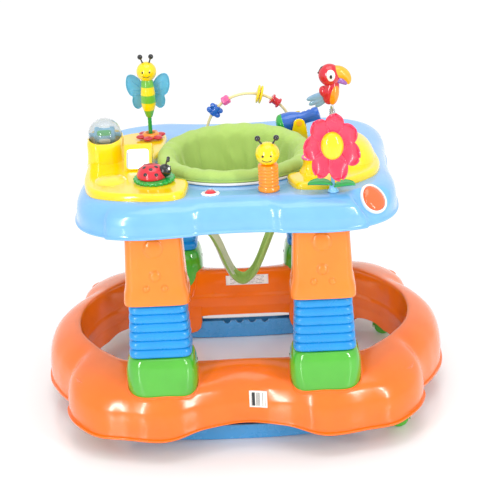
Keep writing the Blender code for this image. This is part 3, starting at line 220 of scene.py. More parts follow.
def woven(name, tint):
    """Cotton knit, dyed: matt, with a soft fuzz and a fine rib."""
    if name in bpy.data.materials:
        return bpy.data.materials[name]
    material, tree, shader, coords = blank(name)
    # yarns about 0.6 mm apart, drawn at 1.5 mm so that they show
    warp = add_node(tree, "ShaderNodeTexWave", {"wave_type": "BANDS", "bands_direction": "DIAGONAL"},
                    {"Vector": (coords, "Object"), "Scale": 1000.0 / 1.5 / 6.283, "Distortion": 1.2, "Detail": 1.0,
                     "Detail Scale": 2.0})
    turned_coords = add_node(tree, "ShaderNodeMapping", None,
                             {"Vector": (coords, "Object"), "Rotation": (0.0, 1.57, 0.9)})
    weft = add_node(tree, "ShaderNodeTexWave", {"wave_type": "BANDS", "bands_direction": "DIAGONAL"},
                    {"Vector": (turned_coords, "Vector"), "Scale": 1000.0 / 1.5 / 6.283, "Distortion": 1.2,
                     "Detail": 1.0, "Detail Scale": 2.0})
    cloth = add_node(tree, "ShaderNodeMath", {"operation": "MULTIPLY"}, {0: (warp, "Fac"), 1: (weft, "Fac")})
    fuzz = noise_at(tree, coords, 0.9, 2.0)
    height = add_node(tree, "ShaderNodeMath", {"operation": "ADD"}, {0: (cloth, "Value"), 1: (fuzz, "Fac")})
    relief = add_node(tree, "ShaderNodeBump", None,
                      {"Height": (height, "Value"), "Strength": 0.16, "Distance": 0.0004})
    tree.links.new(relief.outputs["Normal"], shader.inputs["Normal"])
    fade = noise_at(tree, coords, 60.0, 3.0)
    drift = spread(tree, (fade, "Fac"), 0.0, 1.0)
    even = add_node(tree, "ShaderNodeMix", {"data_type": "RGBA"},
                    {"Factor": (drift, "Result"), "A": rgba(tint, 0.88), "B": rgba(tint, 1.04)})
    # painted shade: the colour is multiplied a little by the weave's height, so it is darker in the hollows between the
    # yarns; the fuzz in that height adds a random tone
    weave_shade_and_fuzz_tone = add_node(tree, "ShaderNodeMix", {"data_type": "RGBA", "blend_type": "MULTIPLY"},
                    {"Factor": 0.05, "A": (even, "Result"), "B": (height, "Value")})
    tree.links.new(weave_shade_and_fuzz_tone.outputs["Result"], shader.inputs["Base Color"])
    shader.inputs["Roughness"].default_value = 0.92
    shader.inputs["Sheen Weight"].default_value = 0.35
    shader.inputs["Sheen Roughness"].default_value = 0.45
    shader.inputs["Sheen Tint"].default_value = rgba("#F4FFD8")
    shader.inputs["Specular IOR Level"].default_value = 0.25
    material.diffuse_color = rgba(tint)
    return material


def clear_acrylic(name):
    """Blown clear acrylic: colourless, glossy, with faint flow marks."""
    if name in bpy.data.materials:
        return bpy.data.materials[name]
    material, tree, shader, coords = blank(name)
    marks = noise_at(tree, coords, 21.0, 2.0)
    relief = add_node(tree, "ShaderNodeBump", None,
                      {"Height": (marks, "Fac"), "Strength": 0.08, "Distance": 0.0012})
    tree.links.new(relief.outputs["Normal"], shader.inputs["Normal"])
    haze = spread(tree, (marks, "Fac"), 0.02, 0.07)
    tree.links.new(haze.outputs["Result"], shader.inputs["Roughness"])
    shader.inputs["Base Color"].default_value = rgba("#EEF3F6")
    shader.inputs["IOR"].default_value = 1.18
    shader.inputs["Transmission Weight"].default_value = 0.93
    shader.inputs["Coat Weight"].default_value = 0.6
    shader.inputs["Coat Roughness"].default_value = 0.03
    return material


def wing_film(name, tint):
    """Thin tinted polypropylene: half see-through, with a grained inner field."""
    if name in bpy.data.materials:
        return bpy.data.materials[name]
    material, tree, shader, coords = blank(name)
    cells = add_node(tree, "ShaderNodeTexVoronoi", {"feature": "F1"},
                     {"Vector": (coords, "Object"), "Scale": 1000.0 / 2.6})
    relief = add_node(tree, "ShaderNodeBump", None,
                      {"Height": (cells, "Distance"), "Strength": 0.25, "Distance": 0.0004})
    tree.links.new(relief.outputs["Normal"], shader.inputs["Normal"])
    drift = spread(tree, (noise_at(tree, coords, 26.0), "Fac"), 0.0, 1.0)
    mixed = add_node(tree, "ShaderNodeMix", {"data_type": "RGBA"},
                     {"Factor": (drift, "Result"), "A": rgba(tint, 0.9), "B": rgba(tint, 1.1)})
    tree.links.new(mixed.outputs["Result"], shader.inputs["Base Color"])
    shader.inputs["Roughness"].default_value = 0.22
    shader.inputs["Transmission Weight"].default_value = 0.25
    shader.inputs["IOR"].default_value = 1.49
    shader.inputs["Coat Weight"].default_value = 0.4
    material.diffuse_color = rgba(tint)
    return material


def metal(name, tint, rough, grain=0.1):
    """Bright metal or a metallised film, with fine drawing marks."""
    if name in bpy.data.materials:
        return bpy.data.materials[name]
    material, tree, shader, coords = blank(name)
    stretched = add_node(tree, "ShaderNodeMapping", None, {"Vector": (coords, "Object"), "Scale": (1.0, 1.0, 0.06)})
    marks = add_node(tree, "ShaderNodeTexNoise", None,
                     {"Vector": (stretched, "Vector"), "Scale": 900.0, "Detail": 2.0})
    dull = spread(tree, (marks, "Fac"), rough * 0.7, rough * 1.4)
    tree.links.new(dull.outputs["Result"], shader.inputs["Roughness"])
    relief = add_node(tree, "ShaderNodeBump", None,
                      {"Height": (marks, "Fac"), "Strength": grain, "Distance": 0.0002})
    tree.links.new(relief.outputs["Normal"], shader.inputs["Normal"])
    shader.inputs["Base Color"].default_value = rgba(tint)
    shader.inputs["Metallic"].default_value = 1.0
    return material


def striped(name, tints, centre, pitch, axis=2, rough=0.2):
    """Pad-printed ABS: bands of two colours across one axis, with soft printed edges."""
    if name in bpy.data.materials:
        return bpy.data.materials[name]
    material, tree, shader, coords = blank(name)
    apart = add_node(tree, "ShaderNodeSeparateXYZ", None, {"Vector": (coords, "Object")})
    wobble = noise_at(tree, coords, 14.0)
    shifted = add_node(tree, "ShaderNodeMath", {"operation": "SUBTRACT"}, {0: (apart, "XYZ"[axis]), 1: centre})
    uneven = add_node(tree, "ShaderNodeMath", {"operation": "MULTIPLY_ADD"},
                      {0: (wobble, "Fac"), 1: 0.0012, 2: (shifted, "Value")})
    turns = add_node(tree, "ShaderNodeMath", {"operation": "MULTIPLY"}, {0: (uneven, "Value"), 1: math.tau / pitch})
    wave = add_node(tree, "ShaderNodeMath", {"operation": "SINE"}, {0: (turns, "Value")})
    band = add_node(tree, "ShaderNodeMapRange", None,
                    {"Value": (wave, "Value"), "From Min": -0.18, "From Max": 0.18})
    mixed = add_node(tree, "ShaderNodeMix", {"data_type": "RGBA"},
                     {"Factor": (band, "Result"), "A": rgba(tints[0]), "B": rgba(tints[1])})
    tree.links.new(mixed.outputs["Result"], shader.inputs["Base Color"])
    skin = noise_at(tree, coords, 1.1, 1.0)
    relief = add_node(tree, "ShaderNodeBump", None, {"Height": (skin, "Fac"), "Strength": 0.06, "Distance": 0.0004})
    tree.links.new(relief.outputs["Normal"], shader.inputs["Normal"])
    shader.inputs["Roughness"].default_value = rough
    shader.inputs["IOR"].default_value = 1.54
    shader.inputs["Coat Weight"].default_value = 0.3
    return material


def printed_label(name, bars):
    """Coated label paper: dark print on white, as plain bars or ruled lines."""
    if name in bpy.data.materials:
        return bpy.data.materials[name]
    material, tree, shader, _ = blank(name)
    uv = add_node(tree, "ShaderNodeUVMap", {"uv_map": "sheet"})
    apart = add_node(tree, "ShaderNodeSeparateXYZ", None, {"Vector": (uv, "UV")})
    if bars:
        cells = add_node(tree, "ShaderNodeTexWhiteNoise", {"noise_dimensions": "1D"})
        stepped = add_node(tree, "ShaderNodeMath", {"operation": "MULTIPLY"}, {0: (apart, "X"), 1: 34.0})
        whole = add_node(tree, "ShaderNodeMath", {"operation": "FLOOR"}, {0: (stepped, "Value")})
        tree.links.new(whole.outputs["Value"], cells.inputs["W"])
        ink = add_node(tree, "ShaderNodeMath", {"operation": "GREATER_THAN"}, {0: (cells, "Value"), 1: 0.5})
    else:
        stepped = add_node(tree, "ShaderNodeMath", {"operation": "MULTIPLY"}, {0: (apart, "Y"), 1: 7.0})
        part = add_node(tree, "ShaderNodeMath", {"operation": "FRACT"}, {0: (stepped, "Value")})
        ruled = add_node(tree, "ShaderNodeMath", {"operation": "LESS_THAN"}, {0: (part, "Value"), 1: 0.34})
        broken = add_node(tree, "ShaderNodeTexNoise", {"noise_dimensions": "2D"},
                          {"Vector": (uv, "UV"), "Scale": 21.0})
        gaps = add_node(tree, "ShaderNodeMath", {"operation": "GREATER_THAN"}, {0: (broken, "Fac"), 1: 0.47})
        ink = add_node(tree, "ShaderNodeMath", {"operation": "MULTIPLY"}, {0: (ruled, "Value"), 1: (gaps, "Value")})
    edge = 0.1
    inside = None
    for axis in ("X", "Y"):
        for operation, limit in (("GREATER_THAN", edge), ("LESS_THAN", 1 - edge)):
            test = add_node(tree, "ShaderNodeMath", {"operation": operation}, {0: (apart, axis), 1: limit})
            inside = test if inside is None else add_node(
                tree, "ShaderNodeMath", {"operation": "MULTIPLY"}, {0: (inside, "Value"), 1: (test, "Value")})
    shown = add_node(tree, "ShaderNodeMath", {"operation": "MULTIPLY"}, {0: (ink, "Value"), 1: (inside, "Value")})
    dark = "#25282C" if bars else "#8A7B78"
    mixed = add_node(tree, "ShaderNodeMix", {"data_type": "RGBA"},
                     {"Factor": (shown, "Value"), "A": rgba("#F4EFE8"), "B": rgba(dark)})
    tree.links.new(mixed.outputs["Result"], shader.inputs["Base Color"])
    shader.inputs["Roughness"].default_value = 0.45
    return material


def finish(key):
    """The finish a piece asks for by name."""
    c = settings().colours
    makers = {
        "orange": lambda: moulded("orange_abs_base", c.base, 0.17, 0.3, glow=0.05),
        "sleeve": lambda: moulded("light_orange_abs_sleeve", c.sleeve, 0.2, 0.25, glow=0.05),
        "column": lambda: moulded("sea_blue_polypropylene_column", c.column, 0.24, 0.15),
        "green": lambda: moulded("grass_green_abs_bulb", c.bulb, 0.1, 0.55),
        "rocker": lambda: moulded("slate_blue_nylon_rocker", c.rocker, 0.26, 0.1),
        "tray": lambda: moulded("sky_blue_abs_tray", c.tray, 0.16, 0.35, glow=0.04),
        "yellow": lambda: moulded("sunny_yellow_abs_panel", c.panel, 0.13, 0.4, glow=0.05),
        "cloth": lambda: woven("lime_cotton_knit", c.cloth),
        "lining": lambda: woven("cream_cotton_lining", linear("#E9E4CF")),
        "red": lambda: moulded("cherry_red_abs", c.red, 0.08, 0.6),
        "petal": lambda: moulded("coral_pink_soft_pvc", c.petal, 0.24, 0.2, glow=0.06),
        "wing": lambda: wing_film("tinted_film_wing", c.wing),
        "blue": lambda: moulded("royal_blue_abs", c.blue, 0.08, 0.6),
        "leaf": lambda: moulded("leaf_green_abs", c.leaf, 0.16, 0.4),
        "black": lambda: moulded("black_abs", linear("#15171A"), 0.14, 0.4),
        "white": lambda: moulded("white_abs", linear("#F2F2EE"), 0.2, 0.3),
        "cream": lambda: moulded("cream_dipped_wire", linear("#F3DFA6"), 0.3, 0.2),
        "pink": lambda: moulded("pink_abs_bead", linear("#EE5FA0"), 0.12, 0.5),
        "lilac": lambda: moulded("lilac_abs", linear("#9A5FC0"), 0.16, 0.4),
        "amber": lambda: moulded("amber_abs", linear("#FFB021"), 0.14, 0.4),
        "tangerine": lambda: moulded("tangerine_abs", linear("#FF9410"), 0.14, 0.4),
        "coral": lambda: moulded("coral_orange_abs_button", linear("#F9672C"), 0.08, 0.6),
        "slate": lambda: moulded("slate_grey_abs", linear("#7FA6C4"), 0.2, 0.3),
        "grey": lambda: moulded("grey_nylon", linear("#8D9298"), 0.3, 0.1),
        "sky": lambda: moulded("pale_blue_abs_stem", linear("#8FD0FF"), 0.16, 0.4),
        "print_blue": lambda: moulded("printed_blue_drum", linear("#6FB2D0"), 0.25, 0.2),
        "clear": lambda: clear_acrylic("clear_acrylic_ball"),
        "mirror": lambda: metal("silvered_acrylic_mirror", "#E3E9EC", 0.05, 0.02),
        "steel": lambda: metal("brushed_steel", "#C9CCD0", 0.25),
        "bee": lambda: striped("striped_abs_bee", ("#FFE000", "#6FBF3A"), 0.4775, 0.0285),
        "bars": lambda: printed_label("printed_bar_label", True),
        "ruled": lambda: printed_label("printed_ruled_label", False),
    }
    return makers[key]()


# ---------------------------------------------------------------- shapes
def tray_z(y, rise=0.0):
    """Height of the tray's sloping top at y, plus rise."""
    return TRAY_TOP_FRONT - TRAY_FALL * (y - TRAY_FRONT) + rise


def smooth_step(x, low, high):
    """Goes smoothly from 0 at low to 1 at high; low may be the larger."""
    t = min(1.0, max(0.0, (x - low) / (high - low)))
    return t * t * (3 - 2 * t)


def through(points, steps, closed=False):
    """A smooth curve through the given places."""
    points = [Vector(p) for p in points]
    count = len(points)
    out = []
    for i in range(count if closed else count - 1):
        if closed:
            a, b, c, d = (points[(i + k) % count] for k in (-1, 0, 1, 2))
        else:
            a, b, c, d = (points[min(count - 1, max(0, i + k))] for k in (-1, 0, 1, 2))
        for s in range(steps):
            t = s / steps
            out.append(0.5 * (2 * b + (c - a) * t + (2 * a - 5 * b + 4 * c - d) * t * t
                              + (3 * b - a - 3 * c + d) * t ** 3))
    if not closed:
        out.append(points[-1])
    return out


def through_profile(points, steps=4):
    """A smooth profile that never crosses its axis."""
    return [(max(0.0, p[0]), p[1]) for p in through(points, steps)]


def four_fold(quarter):
    """Mirrors a quarter outline, from +X round to +Y, into a closed loop."""
    right = list(quarter)
    left = [(-x, y) for x, y in right[-2::-1]]
    back = right + left
    return back + [(x, -y) for x, y in back[-2:0:-1]]


def squircle(x, y, half_x, half_y, power=4.0, count=48):
    """A rounded rectangle as one smooth loop."""
    out = []
    for k in range(count):
        a = math.tau * k / count
        c, s = math.cos(a), math.sin(a)
        reach = (abs(c) ** power + abs(s) ** power) ** (-1 / power)
        out.append((x + half_x * c * reach, y + half_y * s * reach))
    return out


def paint(bm, before, material):
    """Gives every face made since before its material."""
    if material:
        for face in bm.faces:
            if face not in before:
                face.material_index = material


def loft(bm, rings, closed=True, caps=(True, True), material=0):
    """Extrudes a loop of edges through rings of places, and fills its ends."""
    before = set(bm.faces) if material else ()
    verts = [bm.verts.new(p) for p in rings[0]]
    pairs = list(zip(verts, verts[1:])) + ([(verts[-1], verts[0])] if closed else [])
    edges = [bm.edges.new(pair) for pair in pairs]
    if closed and caps[0]:
        bmesh.ops.contextual_create(bm, geom=edges)
    for ring in rings[1:]:
        made = bmesh.ops.extrude_edge_only(bm, edges=edges)["geom"]
        fresh = {g for g in made if isinstance(g, bmesh.types.BMVert)}
        following = []
        for vert, spot in zip(verts, ring):
            partner = next(e.other_vert(vert) for e in vert.link_edges if e.other_vert(vert) in fresh)
            partner.co = spot
            following.append(partner)
        verts = following
        pairs = list(zip(verts, verts[1:])) + ([(verts[-1], verts[0])] if closed else [])
        edges = [bm.edges.get(pair) for pair in pairs]
    if closed and caps[1]:
        bmesh.ops.contextual_create(bm, geom=edges)
    paint(bm, before, material)
    return verts


def thick_sheet(bm, rows, thick, material=0):
    """An open sheet through rows of places, given its thickness."""
    before = set(bm.faces)
    loft(bm, rows, closed=False)
    sheet = [f for f in bm.faces if f not in before]
    bmesh.ops.recalc_face_normals(bm, faces=sheet)
    bmesh.ops.solidify(bm, geom=sheet, thickness=thick)
    paint(bm, before, material)


def lathe(bm, profile, centre=(0, 0, 0), axis=(0, 0, 1), steps=48, material=0, angle=math.tau):
    """Spins a profile of (radius, height) about an axis."""
    before = set(bm.faces) if material else ()
    axis = Vector(axis).normalized()
    turn = Vector((0, 0, 1)).rotation_difference(axis).to_matrix().to_4x4()
    place = Matrix.Translation(centre) @ turn
    verts = [bm.verts.new(place @ Vector((r, 0, z))) for r, z in profile]
    edges = [bm.edges.new(pair) for pair in zip(verts, verts[1:])]
    bmesh.ops.spin(bm, geom=verts + edges, cent=centre, axis=axis, dvec=(0, 0, 0), angle=angle,
                   steps=steps, use_merge=angle >= math.tau - 1e-6, use_duplicate=False)
    paint(bm, before, material)


def ball(bm, centre, radii, turn=None, u=28, v=18, material=0):
    """An ellipsoid with one radius, or one along each axis."""
    before = set(bm.faces) if material else ()
    radii = (radii,) * 3 if isinstance(radii, (int, float)) else radii
    matrix = Matrix.Translation(centre) @ (turn or Matrix.Identity(4)) @ Matrix.Diagonal((*radii, 1))
    bmesh.ops.create_uvsphere(bm, u_segments=u, v_segments=v, radius=1.0, matrix=matrix)
    paint(bm, before, material)


def block(bm, low, high, round_by=0.0, segments=3, turn=None, material=0):
    """A box between two corners, with rounded edges."""
    before = set(bm.faces) if material else ()
    low, high = Vector(low), Vector(high)
    mid, full = (low + high) / 2, high - low
    matrix = Matrix.Translation(mid) @ (turn or Matrix.Identity(4)) @ Matrix.Diagonal((*full, 1))
    verts = bmesh.ops.create_cube(bm, size=1.0, matrix=matrix)["verts"]
    if round_by:
        edges = list({e for v in verts for e in v.link_edges})
        bmesh.ops.bevel(bm, geom=edges, offset=round_by, offset_type="OFFSET", segments=segments, profile=0.5,
                        affect="EDGES", material=-1, clamp_overlap=True)
    paint(bm, before, material)


def tube(bm, path, radii, count=14, caps=True, material=0):
    """A round tube along a path, its radius given once or at each point."""
    path = [Vector(p) for p in path]
    radii = radii if isinstance(radii, (list, tuple)) else [radii] * len(path)
    rings = []
    side = None
    for i, point in enumerate(path):
        along = (path[min(len(path) - 1, i + 1)] - path[max(0, i - 1)]).normalized()
        if side is None:
            side = along.orthogonal().normalized()
        side = (side - along * side.dot(along)).normalized()
        other = along.cross(side)
        rings.append([point + radii[i] * (side * math.cos(math.tau * k / count)
                                          + other * math.sin(math.tau * k / count)) for k in range(count)])
    loft(bm, rings, caps=(caps, caps), material=material)


def plate(bm, outline, thick, place=None, round_by=0.0, material=0):
    """A flat shape given its thickness, with rounded edges; outline in X, Y before place."""
    before = set(bm.faces) if material else ()
    place = place or Matrix.Identity(4)
    verts = [bm.verts.new(place @ Vector((x, y, 0))) for x, y in outline]
    edges = [bm.edges.new(p) for p in zip(verts, verts[1:] + verts[:1])]
    face = bmesh.ops.contextual_create(bm, geom=edges)["faces"]
    made = bmesh.ops.extrude_face_region(bm, geom=face)["geom"]
    fresh = [g for g in made if isinstance(g, bmesh.types.BMVert)]
    bmesh.ops.translate(bm, verts=fresh, vec=place.to_3x3() @ Vector((0, 0, thick)))
    if round_by:
        rims = [e for e in {e for v in verts + fresh for e in v.link_edges}
                if all(v in verts for v in e.verts) or all(v in fresh for v in e.verts)]
        bmesh.ops.bevel(bm, geom=rims, offset=round_by, offset_type="OFFSET", segments=3, profile=0.5,
                        affect="EDGES", material=-1, clamp_overlap=True)
    paint(bm, before, material)


def put(name, bm, finishes, body, replaces=(), sharp=35.0, wall=0.0, levels=0, upward=False):
    """Closes a shape, gives it its finishes and fastens it to a body of the frame."""
    bmesh.ops.remove_doubles(bm, verts=bm.verts[:], dist=3e-6)
    bmesh.ops.dissolve_degenerate(bm, edges=bm.edges[:], dist=1e-7)
    bmesh.ops.recalc_face_normals(bm, faces=bm.faces[:])
    if upward:
        top = max(bm.faces, key=lambda f: f.calc_center_median().z)
        if top.normal.z < 0:
            bmesh.ops.reverse_faces(bm, faces=bm.faces[:])
    mesh = bpy.data.meshes.new(name)
    bm.to_mesh(mesh)
    bm.free()
    for key in finishes:
        mesh.materials.append(finish(key))
    mesh.polygons.foreach_set("use_smooth", [True] * len(mesh.polygons))
    mesh.set_sharp_from_angle(angle=math.radians(sharp))
    piece = bpy.data.objects.new(name, mesh)
    bpy.context.scene.collection.objects.link(piece)
    if wall:
        shell = piece.modifiers.new("wall", "SOLIDIFY")
        shell.thickness = wall
        shell.offset = -1.0
        shell.use_even_offset = False
    if levels:
        finer = piece.modifiers.new("finer", "SUBSURF")
        finer.levels = finer.render_levels = levels
    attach(piece, body)
    if replaces:
        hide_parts(*([replaces] if isinstance(replaces, str) else replaces))
    return piece


# ---------------------------------------------------------------- base ring
BASE_QUARTER = (
    ((0.35, 0.0), (0.286, 0.0)), ((0.345, 0.05), (0.281, 0.046)), ((0.328, 0.095), (0.268, 0.082)),
    ((0.311, 0.13), (0.254, 0.106)), ((0.307, 0.172), (0.24, 0.124)), ((0.29, 0.222), (0.222, 0.142)),
    ((0.253, 0.26), (0.204, 0.16)), ((0.2, 0.276), (0.17, 0.178)), ((0.158, 0.288), (0.146, 0.182)),
    ((0.118, 0.289), (0.112, 0.182)), ((0.07, 0.268), (0.07, 0.182)), ((0.0, 0.25), (0.0, 0.182)),
)
# share of the way in from the outer edge, and height; the last ones go down the inner wall
BASE_SECTION = (
    (-0.045, 0.041), (-0.048, 0.0428), (-0.045, 0.0446), (0.0, 0.0452), (0.008, 0.048), (-0.002, 0.06),
    (0.0, 0.074), (0.022, 0.089), (0.065, 0.101), (0.13, 0.111), (0.22, 0.119), (0.34, 0.1265),
    (0.48, 0.132), (0.62, 0.136), (0.75, 0.1385), (0.84, 0.14), (0.885, 0.1398), (0.915, 0.138),
    (0.93, 0.134), (0.955, 0.108), (0.965, 0.096), (0.968, 0.093), (0.996, 0.089), (1.0, 0.086),
    (1.0, 0.072), (0.99, 0.069), (0.99, 0.066), (1.0, 0.063), (1.0, 0.043), (1.006, 0.041),
)


def base_skin():
    """The base ring's outside as one smooth open shell."""
    outer = through(four_fold([o for o, _ in BASE_QUARTER]), 6, closed=True)
    inner = through(four_fold([i for _, i in BASE_QUARTER]), 6, closed=True)
    bm = bmesh.new()
    rings = []
    for share, height in BASE_SECTION:
        ring = []
        for a, b in zip(outer, inner):
            spot = a.lerp(b, share)
            # the valleys between the end lobes and the leg lobes
            pinch = math.exp(-((abs(a.y) - 0.15) / 0.02) ** 2) * smooth_step(abs(a.x), 0.26, 0.3)
            outward = smooth_step(share, 0.85, 0.1)
            z = height - 0.0075 * pinch * outward * smooth_step(height, 0.05, 0.1)
            spot = spot.lerp(b, 0.08 * pinch * outward)
            # the front and rear edges dip towards the middle
            middle = smooth_step(abs(a.x), 0.1, 0.03) * smooth_step(abs(a.y), 0.15, 0.22)
            z -= 0.006 * middle * smooth_step(share, 0.75, 0.25) * smooth_step(height, 0.06, 0.11)
            # and their lower edges rise to the hand recess, as they do a little over each caster
            recess = smooth_step(abs(a.x), 0.15, 0.06) * smooth_step(abs(a.y), 0.12, 0.19)
            over = smooth_step((Vector((abs(a.x), abs(a.y))) - Vector((0.268, 0.19))).length, 0.085, 0.03)
            z += (0.012 * recess + 0.01 * over) * smooth_step(height, 0.07, 0.03)
            ring.append(Vector((spot.x, spot.y, z)))
        rings.append(ring)
    loft(bm, rings, caps=(False, False))
    return bm


def stick_label(name, tree, key, centre, half_wide, half_tall, toward, body):
    """Lays a thin label on the base, found by looking along toward."""
    bm = bmesh.new()
    bmesh.ops.create_grid(bm, x_segments=14, y_segments=10, size=1.0)
    sheet = bm.loops.layers.uv.new("sheet")
    for face in bm.faces:
        for loop in face.loops:
            loop[sheet].uv = ((loop.vert.co.x + 1) / 2, (loop.vert.co.y + 1) / 2)
    for vert in bm.verts:
        start = Vector(centre) + Vector((vert.co.x * half_wide, 0, vert.co.y * half_tall))
        spot, _, _, _ = tree.ray_cast(start, Vector(toward))
        if spot is None:
            raise RuntimeError(f"{name} misses the base")
        vert.co = spot - Vector(toward) * 0.0005
    return put(name, bm, [key], body, wall=0.0002)


class WALKER_OT_base(bpy.types.Operator):
    """Build the base ring with its guards, wells and labels"""
    bl_idname = "walker.base"
    bl_label = "Base ring"

    def execute(self, context):
        sizes = settings().sizes
        bm = base_skin()
        bm.normal_update()
        surface = BVHTree.FromBMesh(bm)
        put("base_ring_shell", bm, ["orange"], "base", "base_ring", 50.0, sizes.wall, upward=True)
        # guards reach down beside each rocker, with rounded lower corners
        bm = bmesh.new()
        for _, sx, sy in CORNERS:
            low = sizes.guard_bottom
            outline = [(0.083, 0.07), (0.083, low + 0.022), (0.086, low + 0.01), (0.093, low + 0.003), (0.104, low),
                       (0.17, low), (0.181, low + 0.003), (0.186, low + 0.01), (0.187, low + 0.02), (0.187, 0.07)]
            stand = Matrix.Translation((0, sy * 0.1818, 0)) @ Matrix(((sx, 0, 0, 0), (0, 0, sy, 0), (0, 1, 0, 0),
                                                                       (0, 0, 0, 1)))
            plate(bm, outline, 0.0034, stand, 0.0008)
            # caster well and rocker socket under the roof
            lathe(bm, [(0.028, 0.046), (0.031, 0.046), (0.031, 0.117), (0.028, 0.117), (0.028, 0.046)],
                  (sx * CASTER_X, sy * CASTER_Y, 0), steps=40)
            ring = squircle(sx * POST_X, sy * ROCKER_Y, 0.0119, 0.0154, 10.0, 32)
            hole = squircle(sx * POST_X, sy * ROCKER_Y, 0.0089, 0.0124, 10.0, 32)
            tall = [(ring, 0.027), (ring, 0.118), (hole, 0.118), (hole, 0.027), (ring, 0.027)]
            loft(bm, [[Vector((x, y, z)) for x, y in loop] for loop, z in tall], caps=(False, False))
        put("base_guards", bm, ["orange"], "base")
        # a raised seam stands round each foot bulb
        bm = bmesh.new()
        for _, sx, sy in CORNERS:
            path = []
            for x, y in squircle(sx * LEG_X, sy * LEG_Y, 0.06, 0.0465, 3.2, 72):
                spot, _, _, _ = surface.ray_cast(Vector((x, y, 0.2)), Vector((0, 0, -1)))
                path.append(spot + Vector((0, 0, -0.0002)) if spot else None)
            runs, run = [], []
            for point in path + path[:1]:
                if point is None:
                    if len(run) > 3:
                        runs.append(run)
                    run = []
                else:
                    run.append(point)
            if len(run) > 3:
                runs.append(run)
            for run in runs:
                tube(bm, run, 0.0017, 8)
        put("bulb_seams", bm, ["orange"], "base")
        stick_label("bar_label", surface, "bars", (0.0215, -0.4, 0.0915), 0.015, 0.0135, (0, 1, 0), "base")
        stick_label("ruled_label", surface, "ruled", (0.006, 0.1, 0.1195), 0.04, 0.0095, (0, 1, 0), "base")
        return {"FINISHED"}


